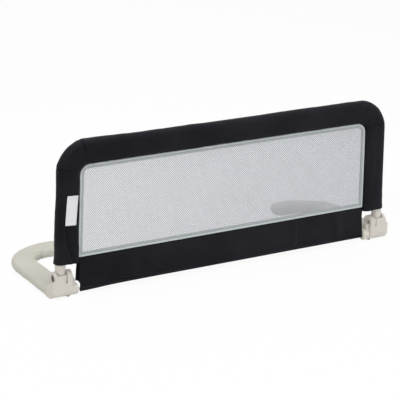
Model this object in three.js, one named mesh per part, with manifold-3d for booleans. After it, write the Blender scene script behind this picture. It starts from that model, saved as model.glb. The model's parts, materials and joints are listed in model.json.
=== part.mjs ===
// A folding bed guard rail. An upside-down U of steel tube wears a fabric cover with a mesh window and
// stands in two plastic shoes. A flat padded leg runs back from each shoe and slides under the mattress.
// Millimetres, +Z up, the panel faces -Y, the legs reach to +Y.

import * as THREE from 'three';
import { mergeVertices } from 'three/addons/utils/BufferGeometryUtils.js';
import Module from 'manifold-3d';

const wasm = await Module();
wasm.setup();

// Panel frame
const postSpacing = 856;
const frameHeight = 344.8;
const tubeRadius = 12;
const tubeWall = 1.2;
const cornerRadius = 62;
const postLean = 6.8;

// Fabric cover
const sleeveGap = 0.3;
const clothThickness = 0.9;
const webThickness = 1.8;
const webReach = 47;
const pocketPower = 6;
const pocketRoundPower = 0.6;
const seamGap = 0.3;
const sleeveHemHeight = 81;
const webHemHeight = 78;
const gussetShare = 0.7;

// Window
const bindingWidth = 10;
const bindingLap = 4;
const bindingThickness = 0.8;
const bindingGap = 0.3;
const windowFootHeight = 88;
const windowCornerRadius = 24;
const meshThickness = 0.9;
const meshGapSize = 29;
const meshPitch = 36;

// Skirt below the window
const skirtFootHeight = 12.4;
const skirtThickness = 1.6;
const skirtSwing = 7.5;
const skirtBackRise = 3;
const hemRodRadius = 2.2;
const hemRodClearance = 0.3;
const hemRodInset = 6;
const foldRise = 2.4;
const foldSpread = 26;
const foldPlaceShares = [-0.86, -0.52, 0.49, 0.82];
const foldColumns = 64;
const foldRows = 6;

// Sewn-in label, left blank
const labelWidth = 27;
const labelHeight = 68;
const labelThickness = 0.6;
const labelCentreHeight = 204.5;
const labelSideGap = 10.5;
const labelTurn = 0.08;

// Hinge
const pivotHeight = 47;
const foldClearance = 0.5;
const lugLength = 8;
const plugLength = 38;
const plugClearance = 0.15;
const rivetRadius = 2.5;
const rivetRise = 27;
const rivetSink = 0.5;
const fitClearance = 0.3;
const runningClearance = 0.08;

// Shoe
const cheekWall = 6;
const earWall = 12;
const earCupRadius = 8.2;
const earCupDepth = 2.2;
const ringWall = 7.4;
const cupDepth = 3.4;
const frontWall = 3.4;
const wallTopRise = 8.8;
const shoeGroundGap = 0.8;
const shoeToeRadius = 20;
const shoeBaseDrop = 5;
const shoeHeelReach = 21;
const shoeFlare = 6.9;
const flareDrop = 4;
const slitWidth = 2.6;
const slitOffset = 8.4;
const slitDrop = 11;

// Pivot bolt
const boltRadius = 3;
const boltHeadRadius = 6.4;
const boltHeadHeight = 2.4;
const nutWidth = 10;
const nutHeight = 4.4;
const nutSeatDepth = 7;
const hexKeyWidth = 5;
const hexKeyDepth = 1.4;

// Release knob with its lock pin
const knobRadius = 13;
const knobHeight = 15.5;
const knobReach = 41.6;
const knobEdge = 4.5;
const knobGap = 0.5;
const carrierThickness = 8;
const carrierWidth = 17;
const carrierTopDrop = 3.4;
const knobTravel = 3.4;
const lockRadius = 8.8;
const lockPinRadius = 1.6;
const lockPinDepth = 3;
const lockPinEndWall = 1.8;
const lockCollarRadius = 2.7;
const lockCollarThickness = 1;
const springWire = 0.5;
const springTurns = 3;
const springSeatWall = 4;

// Padded leg
const legReach = 258;
const legBend = 84;
const padWidth = 59;
const padHeight = 24;
const legEndInset = 106;
const coreRadius = 8;
const coreWall = 1.5;
const coreSocketDepth = 20;
const padNearGap = 0.4;
const corePlugHead = 2.4;
const corePlugDepth = 16;
const screwRadius = 1.8;
const screwHeadRadius = 3.6;
const screwHeadHeight = 2.2;
const footRadius = 4.5;
const footEdge = 1;
const footSeatDepth = 2.6;

// How finely round shapes are cut
const quarterTurn = Math.PI / 2;
const roundSides = 20;
const smallSides = 12;
const bendSteps = 8;
const pocketSteps = 6;
const pocketArcSteps = 5;
const hexSides = 6;
const springSides = 5;
const springTurnSteps = 8;
const cutOverrun = 4;

// Places worked out from the sizes above
const postX = postSpacing / 2;
const sleeveInner = tubeRadius + sleeveGap;
const sleeveOuter = sleeveInner + clothThickness;
const cornerX = postX - cornerRadius;
const cornerZ = frameHeight - cornerRadius;
const pocketReach = webReach - bindingLap - bindingGap;
const webEdgeX = postX - webReach;
const webEdgeZ = frameHeight - webReach;
const windowSideX = webEdgeX + bindingLap;
const windowTopZ = webEdgeZ + bindingLap;
const skirtTopZ = windowFootHeight + bindingLap;
const skirtSideX = postX - knobReach - knobTravel - knobGap;
const lugRadius = tubeRadius;
const lugTopZ = pivotHeight + lugLength;
const leanRate = postLean / (postX * (frameHeight - lugTopZ));
const lugHalf = tubeRadius;
const cheekInner = lugHalf + foldClearance;
const ringOuter = cheekInner + cheekWall;
const earOuter = cheekInner + earWall;
const wallInnerY = lugRadius + foldClearance;
const wallOuterY = wallInnerY + frontWall;
const cheekRadius = wallOuterY;
const shoeBaseHeight = pivotHeight - lugRadius - shoeBaseDrop;
const shoeHeelHeight = padHeight;
const flareTopHeight = pivotHeight - flareDrop;
const slitFootHeight = pivotHeight - slitDrop;
const carrierTopHeight = pivotHeight - carrierTopDrop;
const lockHeight = pivotHeight - lockRadius;
const padCentreZ = padHeight / 2;
const padNearY = shoeHeelReach + padNearGap;
const legEndX = postX - legEndInset;
const rearY = legReach + padWidth / 2;
const middleY = (rearY - wallOuterY) / 2;

// Colours
const fabricColour = 0x1f2128;
const meshColour = 0xc6cacf;
const bindingColour = 0x9aa5a8;
const labelColour = 0xe2e2e6;
const shoeColour = 0xd2ccc2;
const padColour = 0xc6c2b6;
const steelColour = 0xb4b6b8;
const rubberColour = 0x16161a;

const finish = {
  fabric: () => new THREE.MeshStandardMaterial({ color: fabricColour, roughness: 0.9, metalness: 0 }),
  mesh: () => new THREE.MeshStandardMaterial({ color: meshColour, roughness: 0.8, metalness: 0 }),
  binding: () => new THREE.MeshStandardMaterial({ color: bindingColour, roughness: 0.85, metalness: 0 }),
  label: () => new THREE.MeshStandardMaterial({ color: labelColour, roughness: 0.7, metalness: 0 }),
  shoe: () => new THREE.MeshStandardMaterial({ color: shoeColour, roughness: 0.5, metalness: 0 }),
  paint: () => new THREE.MeshStandardMaterial({ color: shoeColour, roughness: 0.4, metalness: 0.1 }),
  pad: () => new THREE.MeshStandardMaterial({ color: padColour, roughness: 0.95, metalness: 0 }),
  steel: () => new THREE.MeshStandardMaterial({ color: steelColour, roughness: 0.35, metalness: 1 }),
  rubber: () => new THREE.MeshStandardMaterial({ color: rubberColour, roughness: 0.9, metalness: 0 }),
};

const rail = new THREE.Group();

function addPiece(name, geometry, material) {
  const mesh = new THREE.Mesh(geometry, material());
  mesh.name = name;
  rail.add(mesh);
  return mesh;
}

// The posts stand closer together at their tops. Whatever is on the panel leans in with them.
function addPanelPiece(name, geometry, material) {
  const places = geometry.attributes.position;
  for (let i = 0; i < places.count; i += 1) {
    const rise = Math.max(0, places.getZ(i) - lugTopZ);
    places.setX(i, places.getX(i) * (1 - leanRate * rise));
  }
  return addPiece(name, geometry, material);
}

// A closed geometry as a solid that can be joined and cut.
function toSolid(geometry) {
  const bare = geometry.clone();
  for (const name of Object.keys(bare.attributes)) {
    if (name !== 'position') bare.deleteAttribute(name);
  }
  const merged = mergeVertices(bare);
  return new wasm.Manifold(new wasm.Mesh({
    numProp: 3,
    vertProperties: new Float32Array(merged.attributes.position.array),
    triVerts: new Uint32Array(merged.index.array),
  }));
}

function fromSolid(solid) {
  const mesh = solid.getMesh();
  const geometry = new THREE.BufferGeometry();
  geometry.setAttribute('position', new THREE.BufferAttribute(mesh.vertProperties, 3));
  geometry.setIndex(new THREE.BufferAttribute(mesh.triVerts, 1));
  geometry.computeVertexNormals();
  return geometry;
}

function joinAll(geometries) {
  return geometries.map(toSolid).reduce((sum, next) => sum.add(next));
}

function cutAll(solid, geometries) {
  return geometries.map(toSolid).reduce((rest, next) => rest.subtract(next), solid);
}

// A route through given stations, with its section held square to one fixed direction.
class Route extends THREE.Curve {
  constructor(stations, upright) {
    super();
    this.stations = stations;
    this.upright = upright;
  }

  station(u) {
    return this.stations[Math.round(u * (this.stations.length - 1))];
  }

  getPoint(u) {
    return this.station(u).point.clone();
  }

  getPointAt(u) {
    return this.getPoint(u);
  }

  computeFrenetFrames(steps) {
    const frames = { tangents: [], normals: [], binormals: [] };
    for (let i = 0; i <= steps; i += 1) {
      const tangent = this.station(i / steps).tangent;
      frames.tangents.push(tangent.clone());
      frames.normals.push(this.upright.clone());
      frames.binormals.push(tangent.clone().cross(this.upright));
    }
    return frames;
  }
}

function sweep(section, stations, upright) {
  return new THREE.ExtrudeGeometry(section, {
    steps: stations.length - 1,
    extrudePath: new Route(stations, upright),
    bevelEnabled: false,
  });
}

const forwards = new THREE.Vector3(0, -1, 0);
const upwards = new THREE.Vector3(0, 0, 1);

// Stations of a straight run or an arc in the panel's own upright plane.
function uprightStation(x, z, angle) {
  return {
    point: new THREE.Vector3(x, 0, z),
    tangent: new THREE.Vector3(Math.sin(angle), 0, Math.cos(angle)),
  };
}

// The bend at the left post's top turns through a quarter circle, the right one's through the next.
function cornerStations(side, from, to) {
  const stations = [];
  const steps = Math.ceil((to - from) * bendSteps);
  for (let i = 0; i <= steps; i += 1) {
    const share = from + ((to - from) * i) / steps;
    const angle = (side < 0 ? share : 1 + share) * quarterTurn;
    const x = side * cornerX - cornerRadius * Math.cos(angle);
    const z = cornerZ + cornerRadius * Math.sin(angle);
    stations.push(uprightStation(x, z, angle));
  }
  return stations;
}

function circleShape(radius, sides) {
  const shape = new THREE.Shape();
  for (let i = 0; i < sides; i += 1) {
    const angle = (2 * Math.PI * i) / sides;
    const x = radius * Math.cos(angle);
    const y = radius * Math.sin(angle);
    if (i === 0) shape.moveTo(x, y);
    else shape.lineTo(x, y);
  }
  return shape;
}

function ringShape(outer, inner, sides) {
  const shape = circleShape(outer, sides);
  shape.holes.push(circleShape(inner, sides));
  return shape;
}

// A rod along X between two places, for bolts, pins and the holes they go through.
function rodX(radius, fromX, toX, y, z, sides = roundSides) {
  const rod = new THREE.CylinderGeometry(radius, radius, Math.abs(toX - fromX), sides);
  rod.rotateZ(quarterTurn);
  rod.translate((fromX + toX) / 2, y, z);
  return rod;
}

function rodZ(radius, fromZ, toZ, x, y, sides = roundSides) {
  const rod = new THREE.CylinderGeometry(radius, radius, toZ - fromZ, sides);
  rod.rotateX(quarterTurn);
  rod.translate(x, y, (fromZ + toZ) / 2);
  return rod;
}

function rodY(radius, fromY, toY, x, z, sides = roundSides) {
  const rod = new THREE.CylinderGeometry(radius, radius, toY - fromY, sides);
  rod.translate(x, (fromY + toY) / 2, z);
  return rod;
}

function block(x0, x1, y0, y1, z0, z1) {
  const box = new THREE.BoxGeometry(Math.abs(x1 - x0), y1 - y0, z1 - z0);
  box.translate((x0 + x1) / 2, (y0 + y1) / 2, (z0 + z1) / 2);
  return box;
}

// A shape drawn with x as depth and y as height, pulled along the real X axis between two places.
function profileX(shape, fromX, toX) {
  const solid = new THREE.ExtrudeGeometry(shape, {
    depth: Math.abs(toX - fromX),
    steps: 1,
    bevelEnabled: false,
    curveSegments: smallSides,
  });
  solid.rotateY(quarterTurn);
  solid.rotateX(quarterTurn);
  solid.translate(Math.min(fromX, toX), 0, 0);
  return solid;
}

// A shape drawn with x as width and y as height, standing in the panel's plane between two depths.
function sheetXZ(shape, frontY, backY) {
  const solid = new THREE.ExtrudeGeometry(shape, {
    depth: backY - frontY,
    steps: 1,
    bevelEnabled: false,
    curveSegments: smallSides,
  });
  solid.rotateX(quarterTurn);
  solid.translate(0, backY, 0);
  return solid;
}

// The U of steel tube, open at both feet.
function buildFrame() {
  const stations = [
    uprightStation(-postX, lugTopZ + fitClearance, 0),
    ...cornerStations(-1, 0, 1),
    ...cornerStations(1, 0, 1),
    uprightStation(postX, lugTopZ + fitClearance, Math.PI),
  ];
  const tube = toSolid(sweep(ringShape(tubeRadius, tubeRadius - tubeWall, roundSides), stations, forwards));
  addPanelPiece('frame_tube', fromSolid(cutAll(tube, [rivetHole(-1), rivetHole(1)])), finish.paint);
}

// One side of the cover's pocket, from the window's edge out to the far side of the tube. It fills out
// quickly from its tab and then stays nearly flat. Section x is depth, y is the way in to the window.
function pocketSide(radius, reach, half) {
  const points = [];
  for (let i = 0; i <= pocketSteps; i += 1) {
    const nearShare = Math.cos((quarterTurn * i) / pocketSteps);
    const fullShare = (1 - nearShare ** pocketPower) ** pocketRoundPower;
    points.push(new THREE.Vector2(half + (radius - half) * fullShare, reach * nearShare));
  }
  for (let i = 1; i < pocketArcSteps; i += 1) {
    const angle = (quarterTurn * i) / pocketArcSteps;
    points.push(new THREE.Vector2(radius * Math.cos(angle), -radius * Math.sin(angle)));
  }
  return points;
}

function mirrored(points) {
  return points.map((p) => new THREE.Vector2(-p.x, p.y)).reverse();
}

// The cover's section: a pocket of cloth round the tube, closed by a flat tab at the window's edge.
function pocketSection() {
  const half = webThickness / 2;
  const outside = [new THREE.Vector2(half, webReach), ...pocketSide(sleeveOuter, pocketReach, half)];
  const inside = pocketSide(sleeveInner, pocketReach - clothThickness, 0);
  const shape = new THREE.Shape([...outside, new THREE.Vector2(0, -sleeveOuter), ...mirrored(outside)]);
  const hollow = [...inside, new THREE.Vector2(0, -sleeveInner), ...mirrored(inside.slice(1))];
  shape.holes.push(new THREE.Path(hollow.reverse()));
  return shape;
}

// Top band, one gusset at each corner and one stile down each post, with a seam gap between them.
function buildCover() {
  const section = pocketSection();
  const seamShare = seamGap / (cornerRadius * quarterTurn);
  const gussetFrom = (1 - gussetShare) / 2;
  const gussetTo = 1 - gussetFrom;
  const topStations = [
    ...cornerStations(-1, gussetTo + seamShare, 1),
    ...cornerStations(1, 0, gussetFrom - seamShare),
  ];
  addPanelPiece('cover_top', sweep(section, topStations, forwards), finish.fabric);
  for (const side of [-1, 1]) {
    const word = side < 0 ? 'left' : 'right';
    const gusset = cornerStations(side, gussetFrom, gussetTo);
    addPanelPiece(`cover_gusset_${word}`, sweep(section, gusset, forwards), finish.fabric);
    const bend = side < 0
      ? cornerStations(side, 0, gussetFrom - seamShare)
      : cornerStations(side, gussetTo + seamShare, 1);
    const hem = uprightStation(side * postX, webHemHeight, side < 0 ? 0 : Math.PI);
    const stile = side < 0 ? [hem, ...bend] : [...bend, hem];
    const sloped = toSolid(sweep(section, stile, forwards));
    addPanelPiece(`cover_stile_${word}`, fromSolid(cutAll(sloped, [stileFootCut(side)])), finish.fabric);
  }
}

// The stile's foot is level round the sleeve and drops a little toward the skirt.
function stileFootCut(side) {
  const outer = side * (postX + sleeveOuter + cutOverrun);
  const inner = side * (postX - sleeveOuter);
  const end = side * (webEdgeX - cutOverrun);
  const shape = new THREE.Shape();
  shape.moveTo(outer, webHemHeight - cutOverrun);
  shape.lineTo(outer, sleeveHemHeight);
  shape.lineTo(inner, sleeveHemHeight);
  shape.lineTo(end, webHemHeight);
  shape.lineTo(end, webHemHeight - cutOverrun);
  return sheetXZ(shape, -sleeveOuter - cutOverrun, sleeveOuter + cutOverrun);
}

// An outline with a level foot and two rounded top corners, as the window and its binding have.
function windowShape(halfWidth, foot, top, radius) {
  const shape = new THREE.Shape();
  shape.moveTo(-halfWidth, foot);
  shape.lineTo(halfWidth, foot);
  shape.lineTo(halfWidth, top - radius);
  shape.absarc(halfWidth - radius, top - radius, radius, 0, quarterTurn, false);
  shape.lineTo(-halfWidth + radius, top);
  shape.absarc(-halfWidth + radius, top - radius, radius, quarterTurn, 2 * quarterTurn, false);
  shape.lineTo(-halfWidth, foot);
  return shape;
}

// A flat net: one thin sheet with a grid of square gaps inside the binding's inner edge.
function buildMesh() {
  const lap = bindingLap + seamGap;
  const shape = windowShape(windowSideX - lap, windowFootHeight + lap, windowTopZ - lap,
    windowCornerRadius - lap);
  const sheet = toSolid(sheetXZ(shape, -meshThickness / 2, meshThickness / 2));
  const clearWidth = 2 * (windowSideX - bindingWidth);
  const clearHeight = windowTopZ - windowFootHeight - 2 * bindingWidth;
  const middleZ = (windowTopZ + windowFootHeight) / 2;
  const columns = gridPlaces(clearWidth, 0).map((x) => block(x - meshGapSize / 2, x + meshGapSize / 2,
    -meshThickness, meshThickness, windowFootHeight + bindingWidth, windowTopZ - bindingWidth));
  const rows = gridPlaces(clearHeight, middleZ).map((z) => block(-windowSideX, windowSideX,
    -meshThickness, meshThickness, z - meshGapSize / 2, z + meshGapSize / 2));
  const gaps = joinAll(columns).intersect(joinAll(rows));
  addPanelPiece('window_mesh', fromSolid(sheet.subtract(gaps)), finish.mesh);
}

// Evenly pitched places for the net's gaps along a clear length, centred on its middle.
function gridPlaces(length, middle) {
  const count = Math.floor(length / meshPitch);
  return Array.from({ length: count }, (_, i) => middle + (i - (count - 1) / 2) * meshPitch);
}

// Binding tape in front of and behind the edges of web, skirt and mesh.
function buildBinding() {
  const near = webThickness / 2 + bindingGap;
  const far = near + bindingThickness;
  for (const face of [-1, 1]) {
    const shape = windowShape(windowSideX, windowFootHeight, windowTopZ, windowCornerRadius);
    shape.holes.push(windowShape(windowSideX - bindingWidth, windowFootHeight + bindingWidth,
      windowTopZ - bindingWidth, windowCornerRadius - bindingWidth));
    const name = face < 0 ? 'binding_front' : 'binding_back';
    addPanelPiece(name, sheetXZ(shape, face < 0 ? -far : near, face < 0 ? -near : far), finish.binding);
  }
}

// How far the hanging cloth bulges forward: a few upright folds, flat again at its top and its hem.
function foldDepth(x, heightShare) {
  const ridges = foldPlaceShares.map((share) => {
    const away = Math.min(1, Math.abs(x - share * skirtSideX) / foldSpread);
    return Math.cos(quarterTurn * away) ** 2;
  });
  return -foldRise * Math.sin(Math.PI * heightShare) * ridges.reduce((sum, next) => sum + next);
}

// One folded sheet of cloth as a closed body, with a front face, a back face and a rim. Its first row
// lies in the wall of the hem's tunnel, and the folds start above the tunnel. Its foot swings forward,
// and its top lies flat behind the binding.
function foldedSheet(footZ, foldFootZ, topZ) {
  const positions = [];
  for (const face of [-1, 1]) {
    for (let row = 0; row <= foldRows; row += 1) {
      const heightShare = Math.min(1, Math.max(0, (row - 1) / (foldRows - 2)));
      const z = sheetRowZ(row, heightShare, footZ, foldFootZ, topZ);
      for (let column = 0; column <= foldColumns; column += 1) {
        const x = skirtSideX * ((2 * column) / foldColumns - 1);
        const swing = (skirtSwing * Math.max(0, windowFootHeight - z)) / (windowFootHeight - footZ);
        positions.push(x, foldDepth(x, heightShare) - swing + (face * skirtThickness) / 2, z);
      }
    }
  }
  const geometry = new THREE.BufferGeometry();
  geometry.setAttribute('position', new THREE.Float32BufferAttribute(positions, 3));
  geometry.setIndex(sheetTriangles());
  return geometry;
}

function sheetRowZ(row, heightShare, footZ, foldFootZ, topZ) {
  if (row === 0) return footZ;
  if (row === foldRows) return topZ;
  return foldFootZ + (windowFootHeight - foldFootZ) * heightShare;
}

function sheetTriangles() {
  const width = foldColumns + 1;
  const back = width * (foldRows + 1);
  const at = (column, row) => row * width + column;
  const index = [];
  for (let row = 0; row < foldRows; row += 1) {
    for (let column = 0; column < foldColumns; column += 1) {
      const [a, b] = [at(column, row), at(column + 1, row)];
      const [c, d] = [at(column + 1, row + 1), at(column, row + 1)];
      index.push(a, b, c, a, c, d);
      index.push(back + a, back + c, back + b, back + a, back + d, back + c);
    }
  }
  const rim = sheetRim(at);
  rim.forEach((from, i) => {
    const to = rim[(i + 1) % rim.length];
    index.push(to, from, back + from, to, back + from, back + to);
  });
  return index;
}

// The sheet's edge points in order: along the foot, up, back along the top and down.
function sheetRim(at) {
  const rim = [];
  for (let column = 0; column < foldColumns; column += 1) rim.push(at(column, 0));
  for (let row = 0; row < foldRows; row += 1) rim.push(at(foldColumns, row));
  for (let column = foldColumns; column > 0; column -= 1) rim.push(at(column, foldRows));
  for (let row = foldRows; row > 0; row -= 1) rim.push(at(0, row));
  return rim;
}

// The skirt's plain back layer, as its side view: from the window's foot down and away from the front.
function backLayerShape() {
  const half = skirtThickness / 2;
  const foot = skirtFootHeight + skirtBackRise;
  const shape = new THREE.Shape();
  shape.moveTo(-half, skirtTopZ);
  shape.lineTo(-half, windowFootHeight);
  shape.lineTo(skirtSwing - half, foot);
  shape.lineTo(skirtSwing + half, foot);
  shape.lineTo(half, windowFootHeight);
  shape.lineTo(half, skirtTopZ);
  return shape;
}

// The skirt has two layers, joined at the top. The front one has a tunnel along its hem, and a
// stiffening rod in the tunnel.
function buildSkirt() {
  const tunnelInner = hemRodRadius + hemRodClearance;
  const tunnelOuter = tunnelInner + clothThickness;
  const tunnelZ = skirtFootHeight + tunnelOuter;
  const cloth = joinAll([
    foldedSheet(tunnelZ + tunnelInner + clothThickness / 2, tunnelZ + tunnelOuter + skirtThickness,
      skirtTopZ),
    profileX(backLayerShape(), -skirtSideX, skirtSideX),
    rodX(tunnelOuter, -skirtSideX, skirtSideX, -skirtSwing, tunnelZ, smallSides),
  ]);
  const bore = rodX(tunnelInner, -skirtSideX - cutOverrun, skirtSideX + cutOverrun, -skirtSwing, tunnelZ,
    smallSides);
  const notches = [-1, 1].map((side) => block(side * (webEdgeX - seamGap), side * (skirtSideX + cutOverrun),
    -skirtSwing, skirtSwing, webHemHeight - seamGap, skirtTopZ + cutOverrun));
  addPanelPiece('skirt', fromSolid(cutAll(cloth, [bore, ...notches])), finish.fabric);
  addPiece('skirt_hem_rod', rodX(hemRodRadius, -skirtSideX + hemRodInset, skirtSideX - hemRodInset,
    -skirtSwing, tunnelZ, smallSides), finish.rubber);
}

// The label is sewn on the left stile's front, turned a little.
function buildLabel() {
  const label = new THREE.BoxGeometry(labelWidth, labelThickness, labelHeight);
  label.rotateY(labelTurn);
  label.translate(-windowSideX - labelSideGap - labelWidth / 2,
    -sleeveOuter - bindingGap - labelThickness / 2, labelCentreHeight);
  addPanelPiece('label_tag', label, finish.label);
}

// Distances outward from a post's centre, turned into real X on either side.
function outFrom(side, distance) {
  return side * (postX + distance);
}

// The lug at a post's foot: round below the pivot, square above it, with a plug up into the tube.
function buildLug(side, word) {
  const shape = new THREE.Shape();
  shape.moveTo(lugRadius, lugTopZ);
  shape.lineTo(-lugRadius, lugTopZ);
  shape.lineTo(-lugRadius, pivotHeight);
  shape.absarc(0, pivotHeight, lugRadius, Math.PI, 2 * Math.PI, false);
  const body = joinAll([
    profileX(shape, outFrom(side, -lugHalf), outFrom(side, lugHalf)),
    rodZ(tubeRadius - tubeWall - plugClearance, lugTopZ - cutOverrun, lugTopZ + plugLength,
      side * postX, 0),
  ]);
  const cuts = [
    rodX(boltRadius + runningClearance, outFrom(side, -lugHalf - cutOverrun),
      outFrom(side, lugHalf + cutOverrun), 0, pivotHeight),
    rivetHole(side),
    lockTrack(side),
  ];
  addPanelPiece(`post_lug_${word}`, fromSolid(cutAll(body, cuts)), finish.shoe);
  buildRivet(side, word);
}

// The quarter-circle track in the lug's inner face, in which the lock pin's tip rides.
function lockTrack(side) {
  const half = lockPinRadius + fitClearance;
  const shape = new THREE.Shape();
  shape.absarc(0, pivotHeight, lockRadius + half, -quarterTurn, 0, false);
  shape.absarc(lockRadius, pivotHeight, half, 0, 2 * quarterTurn, false);
  shape.absarc(0, pivotHeight, lockRadius - half, 0, -quarterTurn, true);
  shape.absarc(0, lockHeight, half, quarterTurn, 3 * quarterTurn, false);
  return profileX(shape, outFrom(side, -lugHalf - cutOverrun),
    outFrom(side, -lugHalf + lockPinDepth + fitClearance));
}

// One flush rivet front to back through tube and plug, hidden by the sleeve.
function buildRivet(side, word) {
  const reach = tubeRadius - rivetSink;
  const rivet = rodY(rivetRadius, -reach, reach, side * postX, lugTopZ + rivetRise, smallSides);
  addPanelPiece(`post_rivet_${word}`, rivet, finish.steel);
}

function rivetHole(side) {
  const reach = tubeRadius + cutOverrun;
  return rodY(rivetRadius + fitClearance, -reach, reach, side * postX, lugTopZ + rivetRise, smallSides);
}

// The foot of the shoe's side view, the same for its middle and its flare: rounded toe, floor, heel.
function traceToeAndHeel(shape) {
  const floor = shoeGroundGap;
  const [toeY, toeZ] = [-wallOuterY + shoeToeRadius, floor + shoeToeRadius];
  shape.lineTo(-wallOuterY, toeZ);
  shape.absarc(toeY, toeZ, shoeToeRadius, 2 * quarterTurn, 3 * quarterTurn, false);
  shape.lineTo(shoeHeelReach, floor);
  shape.lineTo(shoeHeelReach, shoeHeelHeight);
  shape.lineTo(cheekRadius, shoeBaseHeight);
}

// The middle of the shoe has the front wall standing on its base.
function shoeShape() {
  const shape = new THREE.Shape();
  shape.moveTo(-wallOuterY, pivotHeight + wallTopRise);
  traceToeAndHeel(shape);
  shape.lineTo(-wallInnerY, shoeBaseHeight);
  shape.lineTo(-wallInnerY, pivotHeight + wallTopRise);
  return shape;
}

// Below the ring the shoe is wider, so that it stands firmly. The wider part is highest in front.
function flareShape() {
  const shape = new THREE.Shape();
  shape.moveTo(-wallOuterY, flareTopHeight);
  traceToeAndHeel(shape);
  return shape;
}

// A cheek's side view: a round top about the pivot, running straight down into the base.
function cheekShape() {
  const foot = shoeBaseHeight - cutOverrun;
  const shape = new THREE.Shape();
  shape.moveTo(-cheekRadius, foot);
  shape.lineTo(cheekRadius, foot);
  shape.lineTo(cheekRadius, pivotHeight);
  shape.absarc(0, pivotHeight, cheekRadius, 0, Math.PI, false);
  return shape;
}

function shoeBody(side) {
  return joinAll([
    profileX(shoeShape(), outFrom(side, -earOuter), outFrom(side, ringOuter)),
    profileX(flareShape(), outFrom(side, ringOuter - cutOverrun), outFrom(side, ringOuter + shoeFlare)),
    profileX(cheekShape(), outFrom(side, cheekInner), outFrom(side, ringOuter)),
    profileX(cheekShape(), outFrom(side, -earOuter), outFrom(side, -cheekInner)),
  ]);
}

// The slit beside the inner ear, the cups for the bolt's head and the nut, and the nut's seat.
function hingeCuts(side) {
  const through = outFrom(side, -earOuter - cutOverrun);
  return [
    block(outFrom(side, -slitOffset - slitWidth), outFrom(side, -slitOffset), -wallOuterY - cutOverrun,
      -wallInnerY, slitFootHeight, pivotHeight + cheekRadius + cutOverrun),
    rodX(cheekRadius - ringWall, outFrom(side, ringOuter - cupDepth),
      outFrom(side, ringOuter + shoeFlare + cutOverrun), 0, pivotHeight),
    rodX(boltRadius + fitClearance, through, outFrom(side, ringOuter), 0, pivotHeight, smallSides),
    nutSeat(side),
    rodX(earCupRadius, through, outFrom(side, -earOuter + earCupDepth), 0, pivotHeight),
    rodX(lockPinRadius + fitClearance, through, outFrom(side, -cheekInner), 0, lockHeight, smallSides),
    rodX(lockCollarRadius + fitClearance, outFrom(side, -earOuter + springSeatWall),
      outFrom(side, -cheekInner + cutOverrun), 0, lockHeight, smallSides),
  ];
}

// The socket for the leg's core tube, its screw hole from below and the rubber foot's seat.
function baseCuts(side) {
  const below = shoeGroundGap - cutOverrun;
  return [
    rodY(coreRadius + fitClearance, shoeHeelReach - coreSocketDepth, shoeHeelReach + cutOverrun,
      side * postX, padCentreZ),
    rodZ(screwRadius + fitClearance, below, padCentreZ, side * postX, screwY(), smallSides),
    rodZ(screwHeadRadius + fitClearance, below, shoeGroundGap + screwHeadHeight + fitClearance,
      side * postX, screwY(), smallSides),
    rodZ(footRadius + fitClearance, below, footSeatDepth + fitClearance, footX(side), 0, smallSides),
  ];
}

function buildShoe(side, word) {
  const body = cutAll(shoeBody(side), [...hingeCuts(side), ...baseCuts(side)]);
  addPiece(`shoe_${word}`, fromSolid(body), finish.shoe);
}

// A six-sided outline about the pivot, given its width across flats.
function hexShape(width) {
  const corners = circleShape(width / Math.sqrt(3), hexSides).getPoints();
  return new THREE.Shape(corners.map((p) => new THREE.Vector2(p.x, p.y + pivotHeight)));
}

function nutSeat(side) {
  return profileX(hexShape(nutWidth + 2 * fitClearance), outFrom(side, -earOuter - cutOverrun),
    outFrom(side, -earOuter + nutSeatDepth));
}

function screwY() {
  return shoeHeelReach - coreSocketDepth / 2;
}

function footX(side) {
  return outFrom(side, -earOuter + footRadius + fitClearance + footEdge);
}

// The pivot bolt runs from the cup in the outer cheek to the nut in the inner ear.
function buildPivot(side, word) {
  const headFoot = outFrom(side, ringOuter - cupDepth + fitClearance);
  const headTop = outFrom(side, ringOuter - cupDepth + fitClearance + boltHeadHeight);
  const tip = outFrom(side, -earOuter + nutSeatDepth - nutHeight);
  const bolt = joinAll([
    rodX(boltRadius, tip, headTop, 0, pivotHeight),
    rodX(boltHeadRadius, headFoot, headTop, 0, pivotHeight),
  ]);
  const key = profileX(hexShape(hexKeyWidth),
    outFrom(side, ringOuter - cupDepth + fitClearance + boltHeadHeight - hexKeyDepth),
    outFrom(side, ringOuter + cutOverrun));
  addPiece(`pivot_bolt_${word}`, fromSolid(cutAll(bolt, [key])), finish.steel);
  const nut = toSolid(profileX(hexShape(nutWidth),
    outFrom(side, -earOuter + nutSeatDepth - fitClearance),
    outFrom(side, -earOuter + nutSeatDepth - fitClearance - nutHeight)));
  const bore = rodX(boltRadius + fitClearance, outFrom(side, -earOuter - cutOverrun),
    outFrom(side, 0), 0, pivotHeight);
  addPiece(`pivot_nut_${word}`, fromSolid(cutAll(nut, [bore])), finish.rubber);
}

// The release knob: a round cap low on the shoe's inner side and an arm up to the lock pin.
function buildKnob(side, word) {
  const near = -earOuter - knobGap;
  const armFar = near - carrierThickness;
  const half = carrierWidth / 2;
  const arm = new THREE.Shape();
  arm.moveTo(-half, knobHeight);
  arm.lineTo(half, knobHeight);
  arm.lineTo(half, carrierTopHeight - half);
  arm.absarc(0, carrierTopHeight - half, half, 0, Math.PI, false);
  const cap = knobCap(side, near);
  const body = joinAll([cap, profileX(arm, outFrom(side, near), outFrom(side, armFar))]);
  const pinBore = rodX(lockPinRadius + fitClearance, outFrom(side, near + cutOverrun),
    outFrom(side, armFar + lockPinEndWall), 0, lockHeight, smallSides);
  addPiece(`release_knob_${word}`, fromSolid(cutAll(body, [pinBore])), finish.shoe);
  buildLockPin(side, word, armFar);
  buildSpring(side, word);
}

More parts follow.
